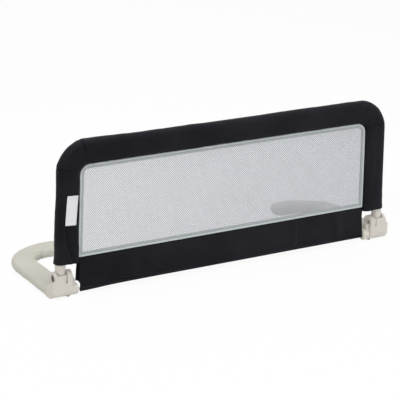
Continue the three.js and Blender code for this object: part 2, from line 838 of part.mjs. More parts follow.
// The cap is turned about an axis along X, flat next to the ear and domed at its free end.
function knobCap(side, near) {
  const length = knobReach + near;
  const points = [new THREE.Vector2(0, 0), new THREE.Vector2(knobRadius, 0)];
  for (let i = 0; i <= smallSides / 2; i += 1) {
    const angle = (quarterTurn * i) / (smallSides / 2);
    points.push(new THREE.Vector2(knobRadius - knobEdge + knobEdge * Math.cos(angle),
      length - knobEdge + knobEdge * Math.sin(angle)));
  }
  points.push(new THREE.Vector2(0, length));
  const cap = new THREE.LatheGeometry(points, roundSides);
  cap.rotateZ(side * quarterTurn);
  cap.translate(outFrom(side, near), 0, knobHeight);
  return cap;
}

function buildLockPin(side, word, armFar) {
  const tip = outFrom(side, -lugHalf + lockPinDepth);
  const end = outFrom(side, armFar + lockPinEndWall + fitClearance);
  const collarNear = -cheekInner - fitClearance;
  const pin = joinAll([
    rodX(lockPinRadius, tip, end, 0, lockHeight, smallSides),
    rodX(lockCollarRadius, outFrom(side, collarNear), outFrom(side, collarNear - lockCollarThickness), 0,
      lockHeight, smallSides),
  ]);
  addPiece(`lock_pin_${word}`, fromSolid(pin), finish.steel);
}

// A small helix round the lock pin, between its collar and the seat in the ear.
function buildSpring(side, word) {
  const from = -cheekInner - fitClearance - lockCollarThickness - fitClearance;
  const to = -earOuter + springSeatWall + fitClearance;
  const wire = springWire / 2;
  const radius = lockPinRadius + fitClearance + springWire;
  const rise = Math.abs(to - from) - springWire;
  const steps = springTurns * springTurnSteps;
  class Helix extends THREE.Curve {
    getPoint(u) {
      const angle = u * springTurns * 2 * Math.PI;
      const x = outFrom(side, from - wire - rise * u);
      return new THREE.Vector3(x, radius * Math.cos(angle), lockHeight + radius * Math.sin(angle));
    }
  }
  addPiece(`knob_spring_${word}`, new THREE.ExtrudeGeometry(circleShape(wire, springSides), {
    steps,
    extrudePath: new Helix(),
    bevelEnabled: false,
  }), finish.steel);
}

// A station of a leg's middle line, at a place and with a direction in the level plane.
function levelStation(x, y, towardX, towardY) {
  return {
    point: new THREE.Vector3(x, y, padCentreZ),
    tangent: new THREE.Vector3(towardX, towardY, 0),
  };
}

// Stations along a leg: straight back from the shoe, round the bend, then in toward the middle.
function legStations(side, nearY, endX) {
  const stations = [levelStation(side * postX, nearY, 0, 1)];
  for (let i = 0; i <= bendSteps; i += 1) {
    const angle = (quarterTurn * i) / bendSteps;
    stations.push(levelStation(side * (postX - legBend * (1 - Math.cos(angle))),
      legReach - legBend * (1 - Math.sin(angle)), -side * Math.sin(angle), Math.cos(angle)));
  }
  stations.push(levelStation(side * endX, legReach, -side, 0));
  return stations;
}

// The pad's section is flat with fully rounded edges. Section x is height, section y is width.
function padSection(width, height) {
  const radius = height / 2;
  const straight = width / 2 - radius;
  const shape = new THREE.Shape();
  shape.absarc(0, straight, radius, 0, Math.PI, false);
  shape.absarc(0, -straight, radius, Math.PI, 2 * Math.PI, false);
  return new THREE.Shape(shape.getPoints(smallSides / 2));
}

function buildLeg(side, word) {
  const core = sweep(ringShape(coreRadius, coreRadius - coreWall, smallSides),
    legStations(side, shoeHeelReach - coreSocketDepth + fitClearance, legEndX), upwards);
  const coreHole = rodZ(screwRadius + fitClearance, 0, padCentreZ, side * postX, screwY(), smallSides);
  addPiece(`leg_core_${word}`, fromSolid(cutAll(toSolid(core), [coreHole])), finish.steel);
  const outside = joinAll([
    sweep(padSection(padWidth, padHeight), legStations(side, padNearY, legEndX), upwards),
    padEnd(side),
  ]);
  const boreEnd = legEndX - corePlugHead - 2 * fitClearance;
  const bore = sweep(circleShape(coreRadius + fitClearance, smallSides),
    legStations(side, padNearY - cutOverrun, boreEnd), upwards);
  addPiece(`leg_pad_${word}`, fromSolid(cutAll(outside, [bore])), finish.pad);
  buildCorePlug(side, word);
  buildScrewAndFoot(side, word);
}

// The pad's free end is half a disc, with the same rounded edge as the rest of the pad.
function padEnd(side) {
  const edge = padHeight / 2;
  const points = [new THREE.Vector2(0, 0)];
  for (let i = 0; i <= smallSides / 2; i += 1) {
    const angle = -quarterTurn + (2 * quarterTurn * i) / (smallSides / 2);
    points.push(new THREE.Vector2(padWidth / 2 - edge * (1 - Math.cos(angle)),
      edge * (1 + Math.sin(angle))));
  }
  points.push(new THREE.Vector2(0, padHeight));
  const disc = new THREE.LatheGeometry(points, roundSides);
  disc.rotateX(quarterTurn);
  disc.translate(side * legEndX, legReach, 0);
  return disc;
}

// A plug with a thin head closes the core tube inside the pad.
function buildCorePlug(side, word) {
  const plug = joinAll([
    rodX(coreRadius - coreWall - plugClearance, side * (legEndX - fitClearance),
      side * (legEndX + corePlugDepth), legReach, padCentreZ, smallSides),
    rodX(coreRadius, side * (legEndX - fitClearance), side * (legEndX - fitClearance - corePlugHead),
      legReach, padCentreZ, smallSides),
  ]);
  addPiece(`core_plug_${word}`, fromSolid(plug), finish.rubber);
}

function buildScrewAndFoot(side, word) {
  const base = shoeGroundGap + fitClearance;
  const screw = joinAll([
    rodZ(screwRadius, base, padCentreZ - fitClearance, side * postX, screwY(), smallSides),
    rodZ(screwHeadRadius, base, base + screwHeadHeight - fitClearance, side * postX, screwY(), smallSides),
  ]);
  addPiece(`leg_screw_${word}`, fromSolid(screw), finish.steel);
  const foot = rodZ(footRadius, 0, footSeatDepth, footX(side), 0, smallSides);
  addPiece(`rubber_foot_${word}`, foot, finish.rubber);
}

buildFrame();
buildCover();
buildMesh();
buildBinding();
buildSkirt();
buildLabel();
for (const [side, word] of [[-1, 'left'], [1, 'right']]) {
  buildLug(side, word);
  buildShoe(side, word);
  buildPivot(side, word);
  buildKnob(side, word);
  buildLeg(side, word);
}

// The origin stands on the floor in the middle of the whole outline.
rail.position.y = -middleY;

export default rail;
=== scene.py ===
# %% [markdown]
# # A folding bed guard rail
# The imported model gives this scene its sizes: a steel hoop, two hinge shoes, two legs and everything
# between them. Each cell dresses one part of it, first the camera and the light, then the materials,
# then the cloth, the net, the plastic and the foam. All lengths are metres, +Z is up, and the panel
# faces -Y.

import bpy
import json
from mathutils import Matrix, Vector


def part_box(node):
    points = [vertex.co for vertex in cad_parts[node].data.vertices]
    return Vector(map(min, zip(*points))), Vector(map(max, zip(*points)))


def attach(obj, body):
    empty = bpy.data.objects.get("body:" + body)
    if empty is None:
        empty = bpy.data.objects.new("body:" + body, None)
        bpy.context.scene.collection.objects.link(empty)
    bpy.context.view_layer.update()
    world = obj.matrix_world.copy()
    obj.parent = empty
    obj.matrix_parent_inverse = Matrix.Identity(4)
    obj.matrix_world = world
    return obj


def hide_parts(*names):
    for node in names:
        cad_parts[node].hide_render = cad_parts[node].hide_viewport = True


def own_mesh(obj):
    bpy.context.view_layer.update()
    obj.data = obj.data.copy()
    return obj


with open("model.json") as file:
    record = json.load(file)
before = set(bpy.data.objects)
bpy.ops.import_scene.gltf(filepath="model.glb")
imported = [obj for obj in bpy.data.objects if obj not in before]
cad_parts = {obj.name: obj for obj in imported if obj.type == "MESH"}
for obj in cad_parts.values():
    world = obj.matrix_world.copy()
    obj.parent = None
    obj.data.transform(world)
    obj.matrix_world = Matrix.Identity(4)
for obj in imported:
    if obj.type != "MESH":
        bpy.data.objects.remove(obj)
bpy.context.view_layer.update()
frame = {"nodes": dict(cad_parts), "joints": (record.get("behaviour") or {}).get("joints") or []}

# %% Libraries
import json
import math

import bmesh
import bpy
from mathutils import Matrix, Vector, noise

SIDES = (("left", -1), ("right", 1))
QUARTER = math.pi / 2

# %% [markdown]
# The frame already says where everything is, so the driving sizes are read from it. A box's depth gives
# the tube's radius, and the box's side less that radius gives the middle line of a post. Only what a box
# can't tell, such as a bend's radius, is a value of its own.

# %% Sizes read from the frame
tube_low, tube_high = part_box("frame_tube")
TUBE_RADIUS = (tube_high.y - tube_low.y) / 2
PANEL_Y = (tube_high.y + tube_low.y) / 2
POST_X = tube_high.x - TUBE_RADIUS
TOP_Z = tube_high.z - TUBE_RADIUS
CORNER_RADIUS = 0.062
CORNER_X = POST_X - CORNER_RADIUS
CORNER_Z = TOP_Z - CORNER_RADIUS

PLUG_LENGTH = 0.038
POST_LEAN = 0.0068
LEAN_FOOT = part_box("post_lug_left")[1].z - PLUG_LENGTH
LEAN_RATE = POST_LEAN / (POST_X * (TOP_Z - LEAN_FOOT))


def lean_share(z):
    """The posts stand closer together at their tops: the share of its width the panel has at a height."""
    return 1 - LEAN_RATE * max(0.0, z - LEAN_FOOT)


cover_low, cover_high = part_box("cover_top")
SLEEVE_RADIUS = (cover_high.y - cover_low.y) / 2
tape_low, tape_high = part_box("binding_front")
WINDOW_X = tape_high.x / lean_share(tape_low.z)
WINDOW_LOW = tape_low.z
WINDOW_TOP = tape_high.z
skirt_low, skirt_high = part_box("skirt")
leg_hinge = next(joint for joint in frame["joints"] if joint["name"] == "leg_fold_left")
PIVOT_Z = leg_hinge["pos_m"][2]
print(f"post {POST_X:.4f}, tube radius {TUBE_RADIUS:.4f}, pivot height {PIVOT_Z:.4f}")

# %% [markdown]
# The photograph was taken from the left and a little above with a long lens, from about four metres.
# A long lens keeps far edges almost as long as near ones. The camera leans by a degree and a half, as
# a hand-held one does, so it is turned a little about its own line of sight.

# %% Camera
CAMERA_PLACE = Vector((-1.9719, -3.3406, 1.4509))
CAMERA_AZIMUTH = math.radians(30.64)
CAMERA_ELEVATION = math.radians(18.91)
CAMERA_LEAN = math.radians(1.46)
LENS_MM = 155.0
SENSOR_MM = 36.0
CLIP_END = 100


def new_object(name, data):
    """An object in the scene for a mesh, a lamp or a camera."""
    made = bpy.data.objects.new(name, data)
    bpy.context.scene.collection.objects.link(made)
    return made


def camera_axes(azimuth, elevation, lean):
    """The camera's right, up and forward directions in the room."""
    ahead = Vector((math.sin(azimuth) * math.cos(elevation), math.cos(azimuth) * math.cos(elevation),
                    -math.sin(elevation)))
    level = Vector((math.cos(azimuth), -math.sin(azimuth), 0))
    upright = level.cross(ahead)
    right = level * math.cos(lean) + upright * math.sin(lean)
    up = upright * math.cos(lean) - level * math.sin(lean)
    return right, up, ahead


camera_data = bpy.data.cameras.new("camera")
camera_data.lens = LENS_MM
camera_data.sensor_width = SENSOR_MM
camera_data.clip_end = CLIP_END
camera = new_object("camera", camera_data)
right, up, ahead = camera_axes(CAMERA_AZIMUTH, CAMERA_ELEVATION, CAMERA_LEAN)
turned = Matrix((right, up, -ahead)).transposed().to_4x4()
camera.matrix_world = Matrix.Translation(CAMERA_PLACE) @ turned
bpy.context.scene.camera = camera
bpy.context.scene.view_settings.view_transform = "Standard"
print("camera looks along", [round(v, 3) for v in ahead])

# %% [markdown]
# Node trees are easier to read when a node, its settings and its links are made in one call. The helper
# takes a value or a socket for each input: a value is written into the socket, and a socket is linked.
# The same helper serves shader trees and geometry trees.

# %% Helper for node trees
def add(tree, kind, inputs=None, **settings):
    """Adds one node, writes its settings, and fills or links its inputs."""
    made = tree.nodes.new(kind)
    for name, value in settings.items():
        setattr(made, name, value)
    for name, value in (inputs or {}).items():
        if isinstance(value, bpy.types.NodeSocket):
            tree.links.new(value, made.inputs[name])
        else:
            made.inputs[name].default_value = value
    return made


def math_node(tree, operation, first, second=0.0):
    return add(tree, "ShaderNodeMath", {0: first, 1: second}, operation=operation).outputs[0]


def new_material(name, **values):
    """A material with one Principled shader, whose plain numbers are set on the shader itself."""
    material = bpy.data.materials.new(name)
    material.use_nodes = True
    shader = material.node_tree.nodes["Principled BSDF"]
    for socket, value in values.items():
        shader.inputs[socket.replace("_", " ")].default_value = value
    return material, material.node_tree, shader


def set_bump(tree, shader, height, strength, distance):
    bump = add(tree, "ShaderNodeBump", {"Height": height, "Strength": strength, "Distance": distance})
    tree.links.new(bump.outputs["Normal"], shader.inputs["Normal"])


def set_colours(tree, shader, factor, stops):
    """Colours a shader by a factor. Each stop is a position and a colour."""
    ramp = add(tree, "ShaderNodeValToRGB", {0: factor})
    elements = ramp.color_ramp.elements
    while len(elements) < len(stops):
        elements.new(1.0)
    for element, (position, colour) in zip(elements, stops):
        element.position = position
        element.color = (*colour, 1)
    tree.links.new(ramp.outputs["Color"], shader.inputs["Base Color"])


# %% [markdown]
# The studio is a white floor under soft light from all round, and four wide lamps: a key from the left,
# one from above, a weak fill from the right and a weak one from behind. To the camera, and in reflections,
# the floor and the world are plain white. For the light that falls on the object they are calmer, so the
# colours stay as they are written. The floor stays partly a real surface, so it keeps a faint shadow.

# %% Floor, world and lamps
FLOOR_SIZE = 40.0
FLOOR_DROP = 0.0004
FLOOR_SHADOW_SHARE = 0.08
WORLD_STRENGTH = 0.40
LAMP_TARGET = Vector((0, 0, 0.15))
LAMPS = (("key", (-2.4, -2.4, 3.2), 1.5, 60), ("top", (0.1, -0.5, 3.2), 1.8, 40),
         ("fill", (2.2, -3.2, 1.6), 2.4, 22), ("back", (0.6, 2.6, 2.2), 2.4, 14))


def seen_directly(tree):
    """1 for rays from the camera, reflections and clear passes, 0 for the light that falls on things."""
    path = add(tree, "ShaderNodeLightPath")
    either = math_node(tree, "MAXIMUM", path.outputs["Is Camera Ray"], path.outputs["Is Glossy Ray"])
    return math_node(tree, "MAXIMUM", either, path.outputs["Is Transmission Ray"])


def make_floor():
    bpy.ops.mesh.primitive_plane_add(size=FLOOR_SIZE, location=(0, 0, -FLOOR_DROP))
    floor = bpy.context.object
    floor.name = "floor"
    material, tree, shader = new_material("floor_white", Base_Color=(0.9, 0.9, 0.9, 1), Roughness=0.9)
    white = add(tree, "ShaderNodeEmission", {"Color": (1, 1, 1, 1), "Strength": 1.0})
    share = math_node(tree, "MULTIPLY", seen_directly(tree), 1 - FLOOR_SHADOW_SHARE)
    both = add(tree, "ShaderNodeMixShader", {0: share, 1: shader.outputs[0], 2: white.outputs[0]})
    tree.links.new(both.outputs[0], tree.nodes["Material Output"].inputs["Surface"])
    floor.data.materials.append(material)


def make_world():
    world = bpy.data.worlds.new("studio")
    world.use_nodes = True
    tree = world.node_tree
    plain = tree.nodes["Background"]
    plain.inputs["Color"].default_value = (1.0, 0.99, 0.97, 1)
    plain.inputs["Strength"].default_value = WORLD_STRENGTH
    white = add(tree, "ShaderNodeBackground", {"Color": (1, 1, 1, 1), "Strength": 1.0})
    shown = seen_directly(tree)
    both = add(tree, "ShaderNodeMixShader", {0: shown, 1: plain.outputs[0], 2: white.outputs[0]})
    tree.links.new(both.outputs[0], tree.nodes["World Output"].inputs["Surface"])
    bpy.context.scene.world = world


def make_lamp(name, place, size, watts):
    data = bpy.data.lights.new(name, "AREA")
    data.shape = "DISK"
    data.size = size
    data.energy = watts
    lamp = new_object(name, data)
    lamp.location = place
    lamp.rotation_euler = (LAMP_TARGET - Vector(place)).to_track_quat("-Z", "Y").to_euler()


make_floor()
make_world()
for lamp_values in LAMPS:
    make_lamp(*lamp_values)
print("stage ready with", len(LAMPS), "lamps")

# %% [markdown]
# A mesh that follows a path or a surface is a grid of points: rows along it and columns across it. The
# grid can close on itself either way. A cloth's texture has to follow the cloth, so each grid also gets
# a UV map whose two coordinates are real metres along and across, and a weave then has one true size.

# %% Helpers for meshes
UV_CORNERS = ((0, 0), (0, 1), (1, 1), (1, 0))
MERGE_DISTANCE = 1e-7


def mesh_object(name, points, faces, edges=()):
    mesh = bpy.data.meshes.new(name)
    mesh.from_pydata([tuple(p) for p in points], edges, faces)
    if faces:
        mesh.validate()
    return new_object(name, mesh)


def smooth(piece):
    piece.data.shade_smooth()
    return piece


def face_outwards(piece):
    """Merges doubles and turns all faces of a closed mesh outwards."""
    work = bmesh.new()
    work.from_mesh(piece.data)
    bmesh.ops.remove_doubles(work, verts=work.verts, dist=MERGE_DISTANCE)
    bmesh.ops.recalc_face_normals(work, faces=work.faces)
    work.to_mesh(piece.data)
    work.free()
    return piece


def grid_object(name, rows, close_rows=False, close_columns=False, cap=False, uv=None):
    """A surface through rows of points. uv gives metres along and across for each row and column."""
    height, width = len(rows), len(rows[0])
    points = [p for row in rows for p in row]
    faces = []
    for r in range(height if close_rows else height - 1):
        for c in range(width if close_columns else width - 1):
            r2, c2 = (r + 1) % height, (c + 1) % width
            faces.append((r * width + c, r * width + c2, r2 * width + c2, r2 * width + c))
    quads = len(faces)
    if cap:
        faces.append(tuple(range(width - 1, -1, -1)))
        faces.append(tuple((height - 1) * width + c for c in range(width)))
    made = mesh_object(name, points, faces)
    if uv:
        layer = made.data.uv_layers.new(name="cloth")
        for i in range(quads):
            r, c = divmod(i, width if close_columns else width - 1)
            for loop, (dr, dc) in zip(made.data.polygons[i].loop_indices, UV_CORNERS):
                layer.data[loop].uv = uv(r + dr, c + dc)
    return made


def apply_modifiers(piece):
    """Replaces a piece's mesh by its evaluated mesh and removes its modifiers."""
    graph = bpy.context.evaluated_depsgraph_get()
    graph.update()
    piece.data = bpy.data.meshes.new_from_object(piece.evaluated_get(graph))
    piece.modifiers.clear()
    return piece


def thicken(piece, thickness, offset=-1):
    shell = piece.modifiers.new("cloth thickness", "SOLIDIFY")
    shell.thickness = thickness
    shell.offset = offset
    return apply_modifiers(piece)


def dress(piece, material, body, slot, *nodes):
    """Gives a finished piece its material and its body, and hides the nodes it stands for. Its slot is not
    used.
    """
    piece.data.materials.clear()
    piece.data.materials.append(material)
    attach(piece, body)
    if nodes:
        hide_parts(*nodes)
    return piece


# %% [markdown]
# Woven cloth is two sets of threads that pass over and under each other. The product of two sine waves,
# one for each direction, has just that pattern of raised spots, so it serves as the height of a bump.
# The cloth here is near-black with a little blue, and a low sheen lightens it where it turns away.

# %% Material: cover cloth
CLOTH_THREAD = 0.00055
CLOTH_TONES = ((0.35, (0.0038, 0.0040, 0.0062)), (0.7, (0.0102, 0.0104, 0.0142)))


def weave_height(tree, coordinates, pitch):
    """Height of a plain weave at a surface point whose coordinates are metres."""
    scaled = add(tree, "ShaderNodeVectorMath", {0: coordinates, 1: (math.pi / pitch,) * 3},
                 operation="MULTIPLY")
    waves = add(tree, "ShaderNodeVectorMath", {0: scaled.outputs[0]}, operation="SINE")
    parts = add(tree, "ShaderNodeSeparateXYZ", {0: waves.outputs[0]})
    return math_node(tree, "MULTIPLY", parts.outputs["X"], parts.outputs["Y"])


def cloth_map(tree):
    return add(tree, "ShaderNodeUVMap", uv_map="cloth").outputs[0]


def make_cloth():
    material, tree, shader = new_material("cover_cloth", Roughness=0.58, Sheen_Weight=0.03,
                                          Sheen_Roughness=0.45, Sheen_Tint=(0.55, 0.6, 0.75, 1),
                                          Specular_IOR_Level=0.11)
    place = add(tree, "ShaderNodeTexCoord").outputs["Object"]
    patches = add(tree, "ShaderNodeTexNoise", {"Vector": place, "Scale": 9.0, "Detail": 3.0})
    set_colours(tree, shader, patches.outputs["Fac"], CLOTH_TONES)
    set_bump(tree, shader, weave_height(tree, cloth_map(tree), CLOTH_THREAD), 0.5, 0.00012)
    return material


cloth = make_cloth()
print("made", cloth.name)

# %% [markdown]
# The moulded parts and the painted tube are the same warm off-white. Moulded plastic has a fine matt
# grain from its tool, and powder coat has the soft ripple of an orange's skin. Each grain is a noise at
# its own scale, and a second, larger noise varies the colour by a trace, as handling and light do.

# %% Materials: plastic, paint, steel, rubber
OFF_WHITE = (0.655, 0.625, 0.565)
DRIFT_FROM, DRIFT_TO = 0.3, 0.7
WEAR = 0.08


def shaded_colour(tree, shader, colour, spread, scale):
    """Colour that drifts a little lighter and darker over a surface."""
    place = add(tree, "ShaderNodeTexCoord").outputs["Object"]
    drift = add(tree, "ShaderNodeTexNoise", {"Vector": place, "Scale": scale, "Detail": 4.0})
    stops = [(position, [min(1, c * factor) for c in colour])
             for position, factor in ((DRIFT_FROM, 1 - spread), (DRIFT_TO, 1 + spread))]
    set_colours(tree, shader, drift.outputs["Fac"], stops)
    return place


def grained(name, colour, grain_scale, grain_height, spread=0.04, scale=30.0, **values):
    """A solid material with a drifting colour, a drifting roughness and a fine grain."""
    material, tree, shader = new_material(name, **values)
    place = shaded_colour(tree, shader, colour, spread, scale)
    grain = add(tree, "ShaderNodeTexNoise", {"Vector": place, "Scale": grain_scale, "Detail": 2.0})
    worn = add(tree, "ShaderNodeTexNoise", {"Vector": place, "Scale": scale * 2, "Detail": 3.0})
    middle = shader.inputs["Roughness"].default_value
    rough = add(tree, "ShaderNodeMapRange", {"Value": worn.outputs["Fac"], "To Min": middle - WEAR,
                                             "To Max": middle + WEAR})
    tree.links.new(rough.outputs["Result"], shader.inputs["Roughness"])
    set_bump(tree, shader, grain.outputs["Fac"], 0.35, grain_height)
    return material


plastic = grained("moulded_plastic", OFF_WHITE, 2600.0, 0.00006, Roughness=0.46, Specular_IOR_Level=0.45)
paint = grained("powder_coat", OFF_WHITE, 900.0, 0.00008, Roughness=0.36)
steel = grained("zinc_steel", (0.52, 0.52, 0.53), 1800.0, 0.00003, scale=120.0, Roughness=0.34,
                Metallic=1.0)
# Dark steel for the pivot bolt and its washer: partly the bolt's own finish, partly painted shade that
# darkens the outer cup's hollow.
shade_dark_steel = grained("blackened_steel_painted_shade", (0.085, 0.085, 0.082), 1800.0, 0.00003, scale=120.0,
                     Roughness=0.5, Specular_IOR_Level=0.3)
dark_plastic = grained("dark_plastic", (0.02, 0.02, 0.022), 2600.0, 0.00005, Roughness=0.5)
rubber = grained("black_rubber", (0.014, 0.014, 0.016), 3200.0, 0.00008, Roughness=0.8)
print("made", plastic.name, paint.name, steel.name, shade_dark_steel.name, dark_plastic.name, rubber.name)

# %% [markdown]
# The leg pads are soft foam sleeves. Foam with a skin scatters light under its surface, is nearly matt,
# and has tiny pores, which a fine Voronoi pattern gives better than noise.

# %% Material: foam
FOAM_COLOUR = (0.605, 0.59, 0.52)


def make_foam():
    material, tree, shader = new_material("foam_skin", Roughness=0.78, Specular_IOR_Level=0.25,
                                          Subsurface_Weight=0.08, Subsurface_Radius=(0.004, 0.003, 0.002))
    place = shaded_colour(tree, shader, FOAM_COLOUR, 0.05, 14.0)
    pores = add(tree, "ShaderNodeTexVoronoi", {"Vector": place, "Scale": 900.0})
    set_bump(tree, shader, pores.outputs["Distance"], 0.4, 0.00012)
    return material


foam = make_foam()
print("made", foam.name)

# %% [markdown]
# The binding is a ribbed tape. Its ribs run across it, so the height is a sine along the tape. Its outer
# half is coloured lighter than its inner half, darkest just inside its middle, so the colour follows the
# distance across the tape. The net's yarn, the label and the sewing thread get the weave's bump at their own
# scale.

# %% Materials: tape, net, label and thread
TAPE_RIB = 0.0011
TAPE_WIDTH = 0.010
TAPE_TONES = ((0.0, (0.61, 0.66, 0.665)), (0.42, (0.55, 0.60, 0.61)), (0.52, (0.36, 0.395, 0.41)),
              (1.0, (0.44, 0.47, 0.485)))


def make_tape():
    material, tree, shader = new_material("binding_tape", Roughness=0.8, Sheen_Weight=0.2)
    across = add(tree, "ShaderNodeSeparateXYZ", {0: cloth_map(tree)})
    set_colours(tree, shader, math_node(tree, "DIVIDE", across.outputs["Y"], TAPE_WIDTH), TAPE_TONES)
    ribs = math_node(tree, "MULTIPLY", across.outputs["X"], 2 * math.pi / TAPE_RIB)
    set_bump(tree, shader, math_node(tree, "SINE", ribs), 0.5, 0.00012)
    return material


def make_yarn(name, colour, pitch, **values):
    """A fine textile whose twist or knit shows as small waves in every direction."""
    material, tree, shader = new_material(name, **values)
    place = shaded_colour(tree, shader, colour, 0.03, 25.0)
    set_bump(tree, shader, weave_height(tree, place, pitch), 0.4, pitch / 6)
    return material


tape = make_tape()
net_yarn = make_yarn("net_yarn", (0.548, 0.568, 0.618), 0.0006, Roughness=0.75, Sheen_Weight=0.15)
label_satin = make_yarn("label_satin", (0.74, 0.74, 0.77), 0.0004, Roughness=0.5, Sheen_Weight=0.2)
dark_thread = make_yarn("dark_thread", (0.02, 0.021, 0.026), 0.0003, Roughness=0.6)
grey_thread = make_yarn("grey_thread", (0.34, 0.37, 0.39), 0.0003, Roughness=0.6)
print("made", tape.name, net_yarn.name, label_satin.name)

# %% [markdown]
# One steel tube is bent into a hoop: a post, a corner, the top and the same again. Everything on the
# panel follows that line, so one function gives the line's points. Its input is the distance from the
# left post's foot. A second function adds a distance out from the hoop and a depth behind the panel.

# %% The hoop's middle line
BEND_LENGTH = QUARTER * CORNER_RADIUS
HOOP_LENGTH = 2 * (CORNER_Z + BEND_LENGTH + CORNER_X)


def hoop(s):
    """A point of the middle line and the outward direction there."""
    if s > HOOP_LENGTH / 2:
        place, out = hoop(HOOP_LENGTH - s)
        return Vector((-place.x, place.y, place.z)), Vector((-out.x, 0, out.z))
    if s < CORNER_Z:
        return Vector((-POST_X, PANEL_Y, s)), Vector((-1, 0, 0))
    if s < CORNER_Z + BEND_LENGTH:
        angle = (s - CORNER_Z) / CORNER_RADIUS
        out = Vector((-math.cos(angle), 0, math.sin(angle)))
        return Vector((-CORNER_X, PANEL_Y, CORNER_Z)) + out * CORNER_RADIUS, out
    return Vector((s - CORNER_Z - BEND_LENGTH - CORNER_X, PANEL_Y, TOP_Z)), Vector((0, 0, 1))


def leaned(place):
    return Vector((place.x * lean_share(place.z), place.y, place.z))


def on_hoop(s, out, depth):
    place, direction = hoop(s)
    return leaned(place + direction * out + Vector((0, depth, 0)))


def steps(low, high, pitch):
    """Even places from low to high, about a pitch apart."""
    count = max(1, round(abs((high - low) / pitch)))
    return [low + (high - low) * i / count for i in range(count + 1)]


def full_turn(sides):
    return [2 * math.pi * i / sides for i in range(sides)]


# %% Steel tube, open at both feet
TUBE_PITCH = 0.005
TUBE_WALL = 0.0012
TUBE_EDGE = 0.0003
TUBE_SIDES = 64


def make_tube():
    inner = TUBE_RADIUS - TUBE_WALL
    first, last = tube_low.z, HOOP_LENGTH - tube_low.z
    middle = steps(first + TUBE_EDGE, last - TUBE_EDGE, TUBE_PITCH)
    outside = [(first, TUBE_RADIUS - TUBE_EDGE)] + [(s, TUBE_RADIUS) for s in middle]
    outside += [(last, TUBE_RADIUS - TUBE_EDGE), (last, inner + TUBE_EDGE)]
    rings = outside + [(s, inner) for s in reversed(middle)] + [(first, inner + TUBE_EDGE)]
    rows = [[on_hoop(s, r * math.cos(a), -r * math.sin(a)) for a in full_turn(TUBE_SIDES)]
            for s, r in rings]
    tube = grid_object("steel_tube", rows, close_rows=True, close_columns=True)
    return smooth(face_outwards(tube))


steel_tube = dress(make_tube(), paint, "rail", "paint", "frame_tube")
print("tube faces", len(steel_tube.data.polygons))

# %% [markdown]
# The cover is a pocket of stiff cloth, pulled over the hoop and sewn shut along the window's edge. Across
# the tube it is round outside, nearly flat in front and behind, and it closes quickly at the window. The
# section is a short list of points with their normals. Each panel sweeps the section between two seams
# and moves every point along its normal by a few small rules: a dip at each seam, puckers beside it,
# bumps of seam allowance at the corners, one long crease and short wrinkles on the front, fuller and
# tighter places, and soft unevenness. Solidify then gives the cloth its thickness.

# %% The pocket's section
CLOTH_THICKNESS = 0.0007
WEB_REACH = 0.047
POCKET_REACH = 0.0427
WEB_HALF = 0.0009
POCKET_POWER = 6
POCKET_ROUND_POWER = 0.6
POCKET_RADIUS = SLEEVE_RADIUS - 0.0001
TAB_LENGTH = 0.002
SIDE_POINTS = 22
ROUND_POINTS = 24


def pocket_depth(out):
    """Half the pocket's thickness at a distance out from the tube's middle."""
    near = min(1.0, max(0.0, -out / POCKET_REACH))
    full = (1 - near ** POCKET_POWER) ** POCKET_ROUND_POWER
    return WEB_HALF + (POCKET_RADIUS - WEB_HALF) * full


def pocket_section():
    """Points (out, depth), normals and lengths from the back tab round the tube to the front tab."""
    back = [Vector((-WEB_REACH, WEB_HALF)), Vector((-WEB_REACH + TAB_LENGTH, WEB_HALF))]
    for i in range(SIDE_POINTS):
        out = -POCKET_REACH * math.cos(QUARTER * i / SIDE_POINTS)
        back.append(Vector((out, pocket_depth(out))))
    turns = [QUARTER - math.pi * i / ROUND_POINTS for i in range(ROUND_POINTS + 1)]
    front = [Vector((u, -v)) for u, v in reversed(back)]
    round_part = [Vector((POCKET_RADIUS * math.cos(a), POCKET_RADIUS * math.sin(a))) for a in turns]
    points = back + round_part + front
    normals, lengths = [], [0.0]
    for i, point in enumerate(points):
        along = points[min(i + 1, len(points) - 1)] - points[max(i - 1, 0)]
        normals.append(Vector((-along.y, along.x)).normalized())
        if i:
            lengths.append(lengths[-1] + (point - points[i - 1]).length)
    return points, normals, lengths


SECTION, SECTION_NORMALS, SECTION_LENGTHS = pocket_section()
SECTION_LENGTH = SECTION_LENGTHS[-1]
print("section length", round(SECTION_LENGTH * 1000, 1), "mm")

# %% How the cloth leaves its plain section
SEAM_DIP = 0.0011
SEAM_WIDTH = 0.0018
PUCKER = 0.0004
PUCKER_PITCH = 0.011
HEM_WIDTH = 0.008
HEM_RISE = 0.0004
HEM_EDGE = 0.0012
HEM_FLARE = 0.0016
FLARE_HEIGHT = 0.09
UNEVEN = 0.0010
RIPPLE = 0.0005
CREASE = ((-0.4215, 0.172), (-0.4155, 0.131), (-0.409, 0.102), (-0.400, 0.078))
CREASE_DEPTH = 0.0040
CREASE_WIDTH = 0.0026
CREASE_BANK = 0.008
BANK_WIDTH = 0.005
WRINKLES = (((-0.382, 0.338), (-0.296, 0.309), 0.0015), ((-0.366, 0.318), (-0.318, 0.300), 0.0010),
            ((-0.402, 0.300), (-0.380, 0.318), 0.0012), ((0.372, 0.300), (0.392, 0.322), 0.0012),
            ((-0.13, 0.318), (-0.02, 0.303), 0.0008), ((0.405, 0.240), (0.412, 0.150), 0.0008))
WRINKLE_WIDTH = 0.0035
CORNER_BUMPS = 3
BUMPS = {"left": 0.0020, "right": 0.0004}
STILE_FULLNESS = 0.0020
TOP_FULLNESS = 0.0026
SLACK_LOSS = 0.0010
STILE_FULL_FROM, STILE_FULL_SPAN = 0.085, 0.16
TOP_FULL_X, TOP_FULL_WIDTH = -0.375, 0.085
LEAST_GAP = 0.0001


def bell(distance, width):
    return math.exp(-(distance / width) ** 2)


